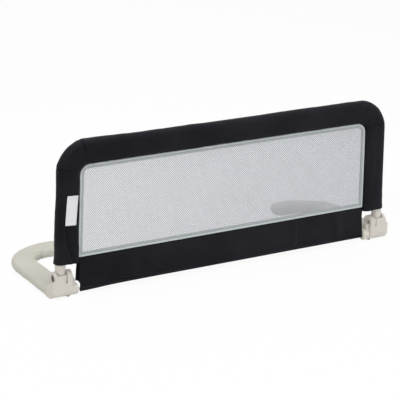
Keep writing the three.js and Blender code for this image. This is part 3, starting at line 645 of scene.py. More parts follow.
def crease_depth(place, crease):
    """A fold down a stile's front, deepest in its middle, with a low bank on either side."""
    if place.y > PANEL_Y:
        return 0.0
    depth = 0.0
    for (x0, z0), (x1, z1) in zip(crease, crease[1:]):
        if z1 <= place.z < z0:
            x = x0 + (x1 - x0) * (z0 - place.z) / (z0 - z1)
            share = (crease[0][1] - place.z) / (crease[0][1] - crease[-1][1])
            side = place.x - x
            banks = (0.45 * bell(side + CREASE_BANK, BANK_WIDTH)
                     + 0.3 * bell(side - CREASE_BANK, BANK_WIDTH))
            fade = math.sin(math.pi * (0.08 + 0.84 * share)) ** 0.7
            depth = CREASE_DEPTH * fade * (bell(side, CREASE_WIDTH) - banks)
    return depth


def wrinkle_depth(place):
    """Short straight wrinkles where the cloth is pulled aslant, each fading toward its two ends."""
    if place.y > PANEL_Y:
        return 0.0
    depth = 0.0
    for (x0, z0), (x1, z1), deep in WRINKLES:
        length = math.hypot(x1 - x0, z1 - z0)
        along = ((place.x - x0) * (x1 - x0) + (place.z - z0) * (z1 - z0)) / length ** 2
        if 0 < along < 1:
            away = ((place.x - x0) * (z1 - z0) - (place.z - z0) * (x1 - x0)) / length
            ridge = 0.6 * bell(away - 2 * WRINKLE_WIDTH, WRINKLE_WIDTH)
            depth += deep * math.sin(math.pi * along) * (bell(away, WRINKLE_WIDTH) - ridge)
    return depth


def corner_bump(s):
    """Seam allowance lifts the cloth at a corner: in one swell at the left, in low bumps at the right."""
    word = "left" if s < HOOP_LENGTH / 2 else "right"
    turn = min(s, HOOP_LENGTH - s) - CORNER_Z
    from_end = min(turn, BEND_LENGTH - turn)
    low = SEAM_ANGLE * CORNER_RADIUS
    if from_end <= 0:
        return 0.0
    if from_end < low:
        return BUMPS[word] * (from_end / low) ** 2
    share = (turn - low) / (BEND_LENGTH - 2 * low)
    if word == "left":
        return BUMPS[word] * (1 - 0.5 * share)
    return BUMPS[word] * (2 * (share * (CORNER_BUMPS - 1) % 1) - 1) ** 2


def fullness(place, s):
    """The cover's left end is pulled less tight, its right stile and the middle of its top are tighter."""
    level = max(0, hoop(s)[1].z) ** 2
    if place.x > -0.1:
        return -SLACK_LOSS * (bell(place.x, 0.09) * level if place.x < 0.2 else 1 - level)
    stile = math.sin(math.pi * min(1, max(0, (place.z - STILE_FULL_FROM) / STILE_FULL_SPAN))) ** 2
    top = bell(place.x - TOP_FULL_X, TOP_FULL_WIDTH) * level
    return STILE_FULLNESS * stile + TOP_FULLNESS * top


def cloth_rise(place, s, point, length, to_seam, hem_rise, crease):
    """How far a point of the cover moves along its normal. It never sinks into the tube."""
    dip = -SEAM_DIP * bell(to_seam, SEAM_WIDTH)
    pucker = PUCKER * bell(to_seam - 0.006, 0.006) * math.sin(2 * math.pi * length / PUCKER_PITCH)
    uneven = UNEVEN * noise.fractal(place * 15, 0.9, 2.1, 3)
    ripple = RIPPLE * noise.noise(Vector((place.x * 60, place.y * 30, place.z * 60)))
    slack = 0.7 if point.x > 0 else 1.0
    flare = HEM_FLARE * max(0.0, 1 - (place.z - STILE_HEM) / FLARE_HEIGHT) ** 2
    outside = max(0.0, min(1.0, (point.x + 0.004) / 0.012))
    rise = (dip + pucker + (uneven + ripple) * slack + 0.0003 + hem_rise + flare
            - crease_depth(place, crease) - wrinkle_depth(place)
            + (corner_bump(s) + fullness(place, s)) * outside)
    return max(rise, CLOTH_THICKNESS + LEAST_GAP - (math.hypot(point.x, point.y) - TUBE_RADIUS))


# %% Five cover panels
SEAM_ANGLE = math.radians(13.5)
STILE_HEM = 0.081
WEB_HEM = 0.078
SEAM_LOW = CORNER_Z + SEAM_ANGLE * CORNER_RADIUS
SEAM_HIGH = CORNER_Z + (QUARTER - SEAM_ANGLE) * CORNER_RADIUS
SEAM_GAP = 0.0002
WEB_TAB = 0.0045
PANEL_PITCH = 0.0025


def hem_height(out):
    """The stile's foot is level round the tube and drops a little toward the skirt."""
    share = max(0.0, (-out - SLEEVE_RADIUS) / (WEB_REACH - SLEEVE_RADIUS))
    return STILE_HEM + (WEB_HEM - STILE_HEM) * share


def web_share(length):
    """0 on the flat tabs under the tape, 1 on the rest of the section."""
    return min(1, max(0, min(length, SECTION_LENGTH - length) - WEB_TAB) / WEB_TAB)


def cover_panel(name, first, last, hem=False, crease=(), mirrored=False):
    """One panel from first to last along the hoop. With a hem, its first row is the stile's foot. A panel
    that will be mirrored is shaped by the rules of the side it will be on."""
    rows = []
    places = steps(first, last, PANEL_PITCH)
    for s in places:
        row = []
        for point, normal, length in zip(SECTION, SECTION_NORMALS, SECTION_LENGTHS):
            at = s
            if hem:
                share = (s - first) / (last - first)
                foot = hem_height(point.x)
                at = foot + (last - foot) * share
            plain = on_hoop(at, point.x, point.y)
            past_hem = max(0.0, at - hem_height(point.x) - HEM_WIDTH)
            doubled = HEM_RISE * bell(past_hem, HEM_EDGE) if hem else 0
            to_seam = last - at if hem else min(s - first, last - s)
            if mirrored:
                plain.x = -plain.x
            rule_s = HOOP_LENGTH - at if mirrored else at
            rise = cloth_rise(plain, rule_s, point, length, to_seam, doubled, crease)
            edge = web_share(length)
            row.append(on_hoop(at, point.x + normal.x * rise * edge, point.y + normal.y * rise * edge))
        rows.append(row)
    panel = grid_object(name, rows, uv=lambda r, c: (places[r] - first, SECTION_LENGTHS[c]))
    return smooth(thicken(panel, CLOTH_THICKNESS))


def mirror_mesh(mesh):
    """Moves a mesh to the rail's other side and turns its faces back outwards."""
    mesh.transform(Matrix.Scale(-1, 4, (1, 0, 0)))
    mesh.flip_normals()
    return mesh


def gusset_area():
    """A corner panel is wider outside the hoop than inside it, so its area is summed over its section."""
    span = QUARTER - 2 * SEAM_ANGLE
    parts = zip(SECTION, SECTION[1:], SECTION_LENGTHS, SECTION_LENGTHS[1:])
    return sum((after - before) * (CORNER_RADIUS + (a.x + b.x) / 2) * span for a, b, before, after in parts)


def dress_cover(panel, node, area=None):
    dress(panel, cloth, "rail", "fabric", node)


top_panel = cover_panel("cover_top_panel", SEAM_HIGH + SEAM_GAP, HOOP_LENGTH - SEAM_HIGH - SEAM_GAP)
dress_cover(top_panel, "cover_top")
gussets = []
for word, side in SIDES:
    first, last = SEAM_LOW + SEAM_GAP, SEAM_HIGH - SEAM_GAP
    if side > 0:
        first, last = HOOP_LENGTH - last, HOOP_LENGTH - first
    gussets.append(cover_panel(f"cover_corner_{word}", first, last))
    dress_cover(gussets[-1], f"cover_gusset_{word}", area=gusset_area())
stile_ends = WEB_HEM, SEAM_LOW - SEAM_GAP
left_stile = cover_panel("cover_stile_panel_left", *stile_ends, hem=True, crease=CREASE)
right_stile = cover_panel("cover_stile_panel_right", *stile_ends, hem=True, mirrored=True)
mirror_mesh(right_stile.data)
for panel, word in ((left_stile, "left"), (right_stile, "right")):
    dress_cover(panel, f"cover_stile_{word}")
print("panel faces", len(top_panel.data.polygons), len(left_stile.data.polygons))

# %% [markdown]
# The window is a net of flat threads that cross at a slant, each over one and under the next. In
# Geometry Nodes a grid turned by 45 degrees gives the crossings. Its points go up and down by turns,
# and the edges of one direction are kept as threads. The second set of threads keeps the other edges and
# goes down where the first goes up. Only the points inside the window stay, and each thread becomes a
# flat strip.

# %% Geometry Nodes: woven net
NET_PITCH = 0.0042
NET_THREAD = 0.0029
NET_THICKNESS = 0.0004
NET_LAP = 0.007


def new_tree(name, inputs):
    """A geometry tree with named inputs, and its group input and output nodes."""
    tree = bpy.data.node_groups.new(name, "GeometryNodeTree")
    tree.interface.new_socket("Geometry", in_out="INPUT", socket_type="NodeSocketGeometry")
    tree.interface.new_socket("Geometry", in_out="OUTPUT", socket_type="NodeSocketGeometry")
    for label, kind in inputs:
        tree.interface.new_socket(label, in_out="INPUT", socket_type=f"NodeSocket{kind}")
    return tree, tree.nodes.new("NodeGroupInput"), tree.nodes.new("NodeGroupOutput")


def finish_tree(tree, geometry, group_in, group_out):
    """Realizes the instances and sets the material, which the export needs."""
    real = add(tree, "GeometryNodeRealizeInstances", {"Geometry": geometry})
    finished = add(tree, "GeometryNodeSetMaterial", {"Geometry": real.outputs[0],
                                                     "Material": group_in.outputs["Material"]})
    tree.links.new(finished.outputs[0], group_out.inputs["Geometry"])


def run_tree(tree, name, values, source=None):
    """Runs a tree on a mesh object with these inputs and returns the result as a plain piece."""
    piece = source or mesh_object(name, [(0, 0, 0)], [])
    modifier = piece.modifiers.new("nodes", "NODES")
    modifier.node_group = tree
    for item in tree.interface.items_tree:
        if item.in_out == "INPUT" and item.name in values:
            modifier[item.identifier] = values[item.name]
    return apply_modifiers(piece)


def net_tree():
    sizes = [(label, "Float") for label in ("Width", "Height", "Pitch", "Thread Width", "Thread Thickness")]
    tree, given, result = new_tree("woven net", sizes + [("Material", "Material")])
    width, height, pitch = (given.outputs[k] for k in ("Width", "Height", "Pitch"))
    thickness = given.outputs["Thread Thickness"]
    side = math_node(tree, "DIVIDE", math_node(tree, "ADD", width, height), math.sqrt(2))
    count = math_node(tree, "CEIL", math_node(tree, "DIVIDE", side, pitch))
    span = math_node(tree, "MULTIPLY", math_node(tree, "SUBTRACT", count, 1.0), pitch)
    grid = add(tree, "GeometryNodeMeshGrid", {"Size X": span, "Size Y": span, "Vertices X": count,
                                              "Vertices Y": count})
    index = add(tree, "GeometryNodeInputIndex").outputs[0]
    column = math_node(tree, "FLOOR", math_node(tree, "DIVIDE", math_node(tree, "ADD", index, 0.5), count))
    row = math_node(tree, "SUBTRACT", index, math_node(tree, "MULTIPLY", column, count))
    odd = math_node(tree, "FLOORED_MODULO", math_node(tree, "ADD", column, row), 2.0)
    turn = math_node(tree, "MULTIPLY", math_node(tree, "SUBTRACT", odd, 0.5), thickness)
    ends = add(tree, "GeometryNodeInputMeshEdgeVertices")
    apart = math_node(tree, "ABSOLUTE", math_node(tree, "SUBTRACT", ends.outputs[0], ends.outputs[1]))
    strip = add(tree, "GeometryNodeCurvePrimitiveQuadrilateral", {"Width": thickness,
                                                                  "Height": given.outputs["Thread Width"]})
    joined = add(tree, "GeometryNodeJoinGeometry")
    for sign, operation in ((1.0, "GREATER_THAN"), (-1.0, "LESS_THAN")):
        lift = add(tree, "ShaderNodeCombineXYZ", {"Z": math_node(tree, "MULTIPLY", turn, sign)})
        waved = add(tree, "GeometryNodeSetPosition", {"Geometry": grid.outputs["Mesh"],
                                                      "Offset": lift.outputs[0]})
        drop = math_node(tree, operation, apart, 1.5)
        lines = add(tree, "GeometryNodeDeleteGeometry", {"Geometry": waved.outputs[0], "Selection": drop},
                    domain="EDGE", mode="EDGE_FACE")
        turned = add(tree, "GeometryNodeTransform", {"Geometry": lines.outputs[0],
                                                     "Rotation": (0, 0, math.pi / 4)})
        place = add(tree, "ShaderNodeSeparateXYZ", {0: add(tree, "GeometryNodeInputPosition").outputs[0]})
        beyond = [math_node(tree, "GREATER_THAN", math_node(tree, "ABSOLUTE", place.outputs[axis]),
                            math_node(tree, "DIVIDE", size, 2.0))
                  for axis, size in (("X", width), ("Y", height))]
        outside = math_node(tree, "MAXIMUM", *beyond)
        inside = add(tree, "GeometryNodeDeleteGeometry", {"Geometry": turned.outputs[0],
                                                          "Selection": outside})
        curves = add(tree, "GeometryNodeMeshToCurve", {"Mesh": inside.outputs[0]})
        level = add(tree, "GeometryNodeSetCurveNormal", {"Curve": curves.outputs[0]}, mode="Z_UP")
        threads = add(tree, "GeometryNodeCurveToMesh", {"Curve": level.outputs[0],
                                                        "Profile Curve": strip.outputs[0], "Fill Caps": True})
        tree.links.new(threads.outputs[0], joined.inputs[0])
    flat = add(tree, "GeometryNodeSetShadeSmooth", {"Geometry": joined.outputs[0], "Shade Smooth": False})
    finish_tree(tree, flat.outputs[0], given, result)
    return tree


clear_width = 2 * (WINDOW_X - NET_LAP)
clear_height = WINDOW_TOP - WINDOW_LOW - 2 * NET_LAP
net = run_tree(net_tree(), "window_net", {"Width": clear_width, "Height": clear_height, "Pitch": NET_PITCH,
                                          "Thread Width": NET_THREAD, "Thread Thickness": NET_THICKNESS,
                                          "Material": net_yarn})
window_middle = Matrix.Translation((0, PANEL_Y, (WINDOW_LOW + WINDOW_TOP) / 2))
net.data.transform(window_middle @ Matrix.Rotation(QUARTER, 4, "X"))
for vertex in net.data.vertices:
    vertex.co = leaned(vertex.co)
dress(net, net_yarn, "rail", "mesh", "window_mesh")
net.data.calc_loop_triangles()
print("net triangles", len(net.data.loop_triangles), "box", [round(v, 4) for v in net.dimensions])

# %% [markdown]
# A folded tape covers the window's edge in front and behind. It runs round the window with a mitre at
# both lower corners and a bend at the upper ones. The path is a ring of stations, each with an inward
# direction. A point at width w lies at station + inward * w, and at a mitre the inward direction is the
# diagonal, so straight sides meet without a gap. The section has two low ridges, one for each fold.

# %% Binding tape, front and back
TAPE_BEND = 0.024
TAPE_GAP = 0.0012
TAPE_FLAT = 0.0007
TAPE_RIDGE = 0.0005
TAPE_RIPPLE = 0.00015
RING_PITCH = 0.005


def window_ring(pitch=RING_PITCH):
    """Stations round the window's outer edge: (x, z, inward x, inward z)."""
    w, r = WINDOW_X, TAPE_BEND
    top = WINDOW_TOP - r
    turns = [(math.cos(QUARTER * i / 10), math.sin(QUARTER * i / 10)) for i in range(11)]
    keys = [(-w, WINDOW_LOW, 1, 1), (w, WINDOW_LOW, -1, 1)]
    keys += [(w - r + r * c, top + r * s, -c, -s) for c, s in turns]
    keys += [(-w + r - r * s, top + r * c, s, -c) for c, s in turns]
    ring = []
    for key, after in zip(keys, keys[1:] + keys[:1]):
        count = max(1, round(math.hypot(after[0] - key[0], after[1] - key[1]) / pitch))
        ring += [tuple(a + (b - a) * i / count for a, b in zip(key, after)) for i in range(count)]
    return ring


def tape_height(across):
    """Height of the tape's face above its back, over a width share from 0 to 1."""
    ridge = abs(math.sin(2 * math.pi * across)) ** 0.6
    return TAPE_FLAT * min(1, 12 * min(across, 1 - across)) + TAPE_RIDGE * ridge


def tape_point(station, share, face, height):
    """A point of the tape at a share of its width, a height in front of the panel or behind it."""
    x, z, inx, inz = station
    along = share * TAPE_WIDTH
    return leaned(Vector((x + inx * along, PANEL_Y + face * height, z + inz * along)))


def make_tape_ring(name, face):
    ring = window_ring()
    lengths = [0.0]
    for a, b in zip(ring, ring[1:] + ring[:1]):
        lengths.append(lengths[-1] + math.hypot(b[0] - a[0], b[1] - a[1]))
    shares = steps(0, 1, 1 / 20)
    rows = []
    for station in ring:
        ripple = TAPE_RIPPLE * noise.noise(Vector((station[0] * 90, face, station[1] * 90)))
        front = [(share, TAPE_GAP + tape_height(share) + ripple) for share in shares]
        section = front + [(share, TAPE_GAP) for share in reversed(shares)]
        rows.append([tape_point(station, share, face, height) for share, height in section])
    width = len(rows[0])
    across = [share * TAPE_WIDTH for share in shares + shares[::-1]] + [0.0]
    tape_ring = grid_object(name, rows, close_rows=True, close_columns=True,
                            uv=lambda r, c: (lengths[r], across[min(c, width)]))
    return smooth(face_outwards(tape_ring))


for word, face in (("front", -1), ("back", 1)):
    tape_piece = make_tape_ring(f"binding_tape_{word}", face)
    dress(tape_piece, tape, "rail", "binding", f"binding_{word}")
    print(tape_piece.name, len(tape_piece.data.polygons), "faces")

# %% [markdown]
# The skirt hangs from the window's edge to just above the floor. A stiff rod in a tunnel along its foot
# keeps it straight, so its few folds are upright and low. A cloth simulation would do it, but the folds
# seen here are small and steady, so each is a ridge of its own: a place, a width, a height and a lean.
# The section runs from the top edge down the front, round the rod and up again to the tunnel's seam.
# A second, plain layer hangs behind. It reaches a little past the front one at both ends, and its lower
# corners are cut away there, so that the release knobs can move.

# %% Skirt with its folds and its tunnel
rod_low, rod_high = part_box("skirt_hem_rod")
SKIRT_THICKNESS = 0.001
SKIRT_TOP = WINDOW_LOW + 0.004
TAB_REACH = 0.0042
TAB_GAP = 0.0006
ROD_GAP = 0.0029
TUNNEL_Z = (rod_low.z + rod_high.z) / 2
SWING = PANEL_Y - (rod_low.y + rod_high.y) / 2
TUNNEL_LIP = 0.004
TUNNEL_STEPS = 16
END_SAG = 0.0034
BACK_RISE = 0.003
BACK_REACH = 0.0048
BACK_LOOSE = 0.0008
CUT_WIDTH = 0.012
CUT_HEIGHT = 0.0145
LAYER_GAP = 0.0006
DROP_PITCH = 0.0025
SKIRT_PITCH = 0.0022
FRONT_POINTS = 52
BACK_POINTS = 36
FOLDS = ((-0.331, 0.022, 0.0030, 0.010), (-0.262, 0.030, 0.0024, -0.012), (-0.205, 0.018, 0.0020, 0.006),
         (-0.060, 0.050, 0.0014, 0.004), (0.070, 0.045, 0.0010, -0.006), (0.186, 0.008, 0.0022, 0.003),
         (0.208, 0.010, -0.0016, 0.004), (0.308, 0.012, 0.0024, -0.005), (0.352, 0.016, 0.0012, 0.002))
FOLD_SCALE = 1.8


def skirt_wave(x, height):
    """How far the cloth stands forward at a place along it, height from 0 at the tunnel to 1 on top."""
    wave = sum(rise * bell(x - place - lean * (height - 0.5), width) for place, width, rise, lean in FOLDS)
    loose = 0.0012 * noise.fractal(Vector((x * 14, 0.5, height * 1.2)), 0.8, 2.0, 3)
    fine = 0.00035 * noise.noise(Vector((x * 70, 3.5, height * 4)))
    return FOLD_SCALE * (wave + loose + fine) * math.sin(math.pi * min(1, 0.12 + 0.88 * height)) ** 0.8


def swing_at(z, foot):
    """The share of its swing that a layer has reached at a height: none behind the tape, all at its foot."""
    return min(1.0, max(0.0, WINDOW_LOW - z) / (WINDOW_LOW - foot))


def skirt_top_edge(x):
    """Under the stiles' tabs the skirt stops below their hem, elsewhere it reaches behind the tape."""
    return SKIRT_TOP if abs(x) < WINDOW_X - TAB_REACH else WEB_HEM - TAB_GAP


def front_section(x):
    """Points (depth, z) from the top edge down, round the tunnel and up to its seam."""
    seam = TUNNEL_Z + ROD_GAP + TUNNEL_LIP
    points = []
    for z in reversed(steps(seam, skirt_top_edge(x), DROP_PITCH)):
        height = min(1.0, (z - seam) / (WINDOW_LOW - seam))
        points.append((-LAYER_GAP - SWING * swing_at(z, TUNNEL_Z) - max(-0.0002, skirt_wave(x, height)), z))
    sag = 0.0002 + 0.0002 * noise.noise(Vector((x * 9, 7, 1))) + END_SAG * bell(x - skirt_low.x, 0.07)
    for i in range(TUNNEL_STEPS + 1):
        angle = math.pi * (0.5 + 2 * i / TUNNEL_STEPS * 0.94)
        low = max(0.0, -math.sin(angle))
        depth = -SWING + math.cos(angle) * ROD_GAP
        points.append((depth, TUNNEL_Z + math.sin(angle) * ROD_GAP - sag * low))
    return points


def back_section(x):
    """The plain layer behind swings back as far as the front one swings forward. It ends a little higher."""
    straight = TUNNEL_Z - ROD_GAP + BACK_RISE
    cut = min(1.0, max(0.0, 1 - (skirt_high.x - abs(x)) / CUT_WIDTH))
    foot = straight + CUT_HEIGHT * cut
    points = []
    for z in reversed(steps(foot, skirt_top_edge(x), DROP_PITCH)):
        share = swing_at(z, straight)
        loose = BACK_LOOSE * noise.fractal(Vector((x * 12, 5.5, share * 1.5)), 0.8, 2.0, 3) * share
        points.append((LAYER_GAP + SWING * share + loose, z))
    return points


def even_row(row, count):
    """The same line through a set number of evenly spaced points."""
    lengths = [0.0]
    for a, b in zip(row, row[1:]):
        lengths.append(lengths[-1] + (b - a).length)
    made, at = [], 0
    for i in range(count):
        target = lengths[-1] * i / (count - 1)
        while at < len(row) - 2 and lengths[at + 1] < target:
            at += 1
        share = (target - lengths[at]) / max(1e-9, lengths[at + 1] - lengths[at])
        made.append(row[at].lerp(row[at + 1], min(1, share)))
    return made, lengths[-1]


def make_layer(name, section, count, reach, nodes):
    """One layer of the skirt as a thick sheet. Its longest line down is printed and scales its UV map."""
    rows, drops = [], []
    xs = steps(skirt_low.x - reach, skirt_high.x + reach, SKIRT_PITCH)
    for x in xs:
        row, drop = even_row([leaned(Vector((x, PANEL_Y + y, z))) for y, z in section(x)], count)
        rows.append(row)
        drops.append(drop)
    drop = max(drops)
    print(name, "hangs", round(drop * 1000, 1), "mm")
    layer = grid_object(name, rows, uv=lambda r, c: (xs[r], c * drop / (count - 1)))
    dress(smooth(thicken(layer, SKIRT_THICKNESS, offset=0)), cloth, "rail", "fabric", *nodes)
    return layer


front_layer = make_layer("skirt_cloth", front_section, FRONT_POINTS, 0, ["skirt"])
make_layer("skirt_back_cloth", back_section, BACK_POINTS, BACK_REACH, [])

# %% [markdown]
# A small label is sewn on the left stile. It carries nothing: a plain satin rectangle with folded ends.
# Satin is stiffer than the cover, so it stays nearly flat and a little turned, and it follows the stile
# where that swells. A ray shot at the stile finds the cloth's surface under each of its points.

# %% Blank label
label_low, label_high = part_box("label_tag")
LABEL_MIDDLE = (label_low + label_high) / 2
LABEL_WIDTH = 0.027
LABEL_HEIGHT = 0.068
LABEL_TURN = 0.08
LABEL_FOLD = 0.005
LABEL_FOLD_RISE = 0.0004
LABEL_THICKNESS = 0.0005
LABEL_PITCH = 0.0015
LABEL_SINK = 0.0016


def on_label(aside, up, y):
    """A point beside and above the turned label's middle."""
    x = LABEL_MIDDLE.x + aside * math.cos(LABEL_TURN) + up * math.sin(LABEL_TURN)
    z = LABEL_MIDDLE.z + up * math.cos(LABEL_TURN) - aside * math.sin(LABEL_TURN)
    return Vector((x, y, z))


def make_label():
    rows = []
    for up in steps(-LABEL_HEIGHT / 2, LABEL_HEIGHT / 2, LABEL_PITCH):
        row = []
        for aside in steps(LABEL_WIDTH / 2, -LABEL_WIDTH / 2, LABEL_PITCH):
            start = on_label(aside, up, PANEL_Y - 0.1)
            folded = LABEL_FOLD_RISE * (LABEL_HEIGHT / 2 - abs(up) < LABEL_FOLD)
            wave = 0.0003 * noise.noise(Vector((start.x * 60, 2.5, start.z * 40)))
            y = LABEL_MIDDLE.y + LABEL_SINK * max(0.0, aside / LABEL_WIDTH + 0.1)
            found, hit = left_stile.ray_cast(start, Vector((0, 1, 0)))[:2]
            if found:
                y = min(y, hit.y - LABEL_THICKNESS)
            row.append(Vector((start.x, y - folded + wave, start.z)))
        rows.append(row)
    piece = grid_object("blank_label", rows, uv=lambda r, c: (r * LABEL_PITCH, c * LABEL_PITCH))
    return smooth(thicken(piece, LABEL_THICKNESS, offset=0))


label = dress(make_label(), label_satin, "rail", "label", "label_tag")
print("label faces", len(label.data.polygons))

# %% [markdown]
# Each leg is a flat foam sleeve on a bent steel core. Its section is a rounded bar, swept straight back
# from the shoe, round one wide bend and in toward the middle. Its free end is the same half section
# turned about the end's middle. Foam that is bent creases on the inside of the bend, so the points there
# move in along a few short arcs.

# %% Foam legs
pad_low, pad_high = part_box("leg_pad_right")
PAD_HEIGHT = pad_high.z - pad_low.z
PAD_WIDTH = 0.059
LEG_BEND = 0.084
LEG_END_X = pad_low.x + PAD_WIDTH / 2
LEG_REAR_Y = pad_high.y - PAD_WIDTH / 2
LEG_STRAIGHT = LEG_REAR_Y - LEG_BEND - pad_low.y
PAD_EDGE = 0.0115
PAD_PITCH = 0.0022
PAD_FIRST = 0.0012
PAD_PINCH = 0.0018
PAD_MERGE = 0.00002
PAD_DENTS = 0.0009
BEND_SQUEEZE = 0.0030
FLAT_STEPS = 6
EDGE_STEPS = 14
END_STEPS = 14


def pad_section():
    """Half of the section from the middle of the underside round the edge to the top's middle."""
    flat = PAD_WIDTH / 2 - PAD_EDGE
    rise = PAD_HEIGHT / 2
    half = [(flat * i / FLAT_STEPS, -rise) for i in range(FLAT_STEPS)]
    for i in range(EDGE_STEPS + 1):
        angle = -QUARTER + math.pi * i / EDGE_STEPS
        half.append((flat + PAD_EDGE * math.cos(angle), rise * math.sin(angle)))
    return half + [(flat * i / FLAT_STEPS, rise) for i in reversed(range(FLAT_STEPS))]


def leg_line(s):
    """Middle line of the right leg: place, and direction sideways to the outside of the bend."""
    if s < LEG_STRAIGHT:
        return Vector((POST_X, pad_low.y + s, PAD_HEIGHT / 2)), Vector((1, 0, 0))
    angle = min(QUARTER, (s - LEG_STRAIGHT) / LEG_BEND)
    out = Vector((math.cos(angle), math.sin(angle), 0))
    place = Vector((POST_X - LEG_BEND, LEG_REAR_Y - LEG_BEND, PAD_HEIGHT / 2)) + out * LEG_BEND
    rest = s - LEG_STRAIGHT - QUARTER * LEG_BEND
    return place - Vector((max(0, rest), 0, 0)), out


CREASES = ((0.192, 0.010, 0.0028, 0.8), (0.212, 0.007, 0.0022, 0.6), (0.232, 0.012, 0.0036, 1.0),
           (0.252, 0.008, 0.0028, 0.75), (0.268, 0.010, 0.0024, 0.6), (0.284, 0.007, 0.0016, 0.45))


def pad_squeeze(s, across, place):
    """How far the foam's skin is pulled in. across runs from -1 inside the bend to 1 outside."""
    creases = 0.0
    for centre, width, depth, reach in CREASES:
        inward = max(0.0, (-across - (1 - 1.6 * reach)) / (1.6 * reach))
        creases += depth * bell(s - centre - 0.016 * (1 + across) ** 2, width * 0.35) * min(1, inward) ** 0.7
    dents = PAD_DENTS * noise.fractal(place * 20, 0.8, 2.0, 3) + 0.0003 * noise.noise(place * 90)
    outer = BEND_SQUEEZE * bell(s - 0.245, 0.045) * max(0, across)
    return creases + dents + outer + 0.0004


def make_pad():
    half = pad_section()
    ring = [(w, h) for w, h in half] + [(-w, h) for w, h in reversed(half[1:-1])]
    end = LEG_STRAIGHT + QUARTER * LEG_BEND + POST_X - LEG_BEND - LEG_END_X
    rows = []
    for s in [0.0] + steps(PAD_FIRST, end, PAD_PITCH):
        place, out = leg_line(s)
        pinch = PAD_PINCH if s == 0 else 0.0
        rows.append([pad_point(place, out, w, h, s, pinch) for w, h in ring])
    end_place = Vector((LEG_END_X, LEG_REAR_Y, PAD_HEIGHT / 2))
    for i in range(1, END_STEPS + 1):
        turn = QUARTER * i / END_STEPS
        row = []
        for w, h in ring:
            side = 1 if w >= 0 else -1
            out = Vector((-side * math.sin(turn), math.cos(turn), 0))
            row.append(pad_point(end_place, out, w, h, end + 0.02 * i / END_STEPS, 0.0))
        rows.append(row)
    pad = grid_object("foam_leg_right", rows, close_columns=True)
    work = bmesh.new()
    work.from_mesh(pad.data)
    bmesh.ops.remove_doubles(work, verts=work.verts, dist=PAD_MERGE)
    bmesh.ops.holes_fill(work, edges=[e for e in work.edges if e.is_boundary])
    bmesh.ops.recalc_face_normals(work, faces=work.faces)
    work.to_mesh(pad.data)
    work.free()
    return smooth(pad)


def pad_point(place, out, w, h, s, pinch):
    """A point of the pad's skin at distance w to the side and height h, pulled in by its creases. The
    flat underside lies on the floor, so it is pulled in less."""
    raw = place + out * w + Vector((0, 0, h))
    length = math.hypot(w / (PAD_WIDTH / 2), h / (PAD_HEIGHT / 2))
    squeeze = pad_squeeze(s, w / (PAD_WIDTH / 2), raw) + pinch
    edge = max(0.0, (abs(w) - PAD_WIDTH / 2 + PAD_EDGE) / PAD_EDGE)
    inward = Vector((0, 0, -math.copysign(1, h) * (1 - edge ** 2))) - out * math.copysign(edge, w)
    pressed = 0.25 if h < 0 and edge < 0.5 else 1.0
    return raw + inward * squeeze * pressed * min(1, length)


right_pad = make_pad()
left_pad = new_object("foam_leg_left", mirror_mesh(right_pad.data.copy()))
for pad, word in ((right_pad, "right"), (left_pad, "left")):
    dress(pad, foam, f"leg_{word}", "pad", f"leg_pad_{word}")
print("pad faces", len(right_pad.data.polygons))

# %% [markdown]
# The hinge parts are moulded. Each starts as plain solids cut from side views, joined and carved with
# booleans, because a boolean keeps exact places. A mould can't make a sharp edge, so the result is
# remeshed to small even faces, smoothed a little, which rounds every edge alike, and thinned again. The
# shoe's outer side flares toward the floor. That is five thin steps, which the smoothing softens.

# %% Helpers for moulded parts
MOULD_VOXEL = 0.00045
KEPT_FACES = 0.35


def prism(outline, low, high):
    """A closed solid along X. The outline is (y, z) from the post's middle line and the floor."""
    rows = [[Vector((POST_X + out, PANEL_Y + y, z)) for y, z in outline] for out in (low, high)]
    return face_outwards(grid_object("prism", rows, close_columns=True, cap=True))


def lathe(profile, axis, place, sides=96):
    """A closed solid turned about an axis through place. The profile is (distance along, radius)."""
    forward = Vector(axis)
    across = Vector((0, 0, 1)) if abs(forward.z) < 0.5 else Vector((1, 0, 0))
    beside = forward.cross(across)
    rows = [[Vector(place) + forward * d + (across * math.cos(a) + beside * math.sin(a)) * r
             for a in full_turn(sides)] for d, r in profile]
    return face_outwards(grid_object("lathe", rows, close_columns=True, cap=True))


def rod(radius, low, high, z):
    """A round rod along X at a height, low and high being distances out from the post."""
    return lathe(((low, radius), (high, radius)), (1, 0, 0), (POST_X, PANEL_Y, z))


def arc(y, z, radius, start, end, count=24):
    """Points of an arc in a side view, angles in quarter turns."""
    turns = [QUARTER * (start + (end - start) * i / count) for i in range(count + 1)]
    return [(y + radius * math.cos(a), z + radius * math.sin(a)) for a in turns]


def combine(base, parts, operation):
    for part in parts:
        step = base.modifiers.new(operation, "BOOLEAN")
        step.operation = operation
        step.solver = "EXACT"
        step.object = part
    apply_modifiers(base)
    for part in parts:
        bpy.data.objects.remove(part)
    return base


def mould(piece, name, rounds=5):
    """Rounds every edge of a solid and keeps a share of its faces."""
    remesh = piece.modifiers.new("even faces", "REMESH")
    remesh.mode = "VOXEL"
    remesh.voxel_size = MOULD_VOXEL
    soften = piece.modifiers.new("soften", "SMOOTH")
    soften.factor = 0.5
    soften.iterations = rounds
    thin = piece.modifiers.new("thin", "DECIMATE")
    thin.ratio = KEPT_FACES
    apply_modifiers(piece)
    piece.name = name
    print(name, len(piece.data.polygons), "faces")
    return smooth(face_outwards(piece))


def both_sides(piece, name, material, body, slot, node):
    """Dresses a right-hand piece and its mirror image for the left."""
    other = new_object(f"{name}_left", mirror_mesh(piece.data.copy()))
    piece.name = f"{name}_right"
    for made, word in ((piece, "right"), (other, "left")):
        dress(made, material, body.format(word), slot, f"{node}_{word}")


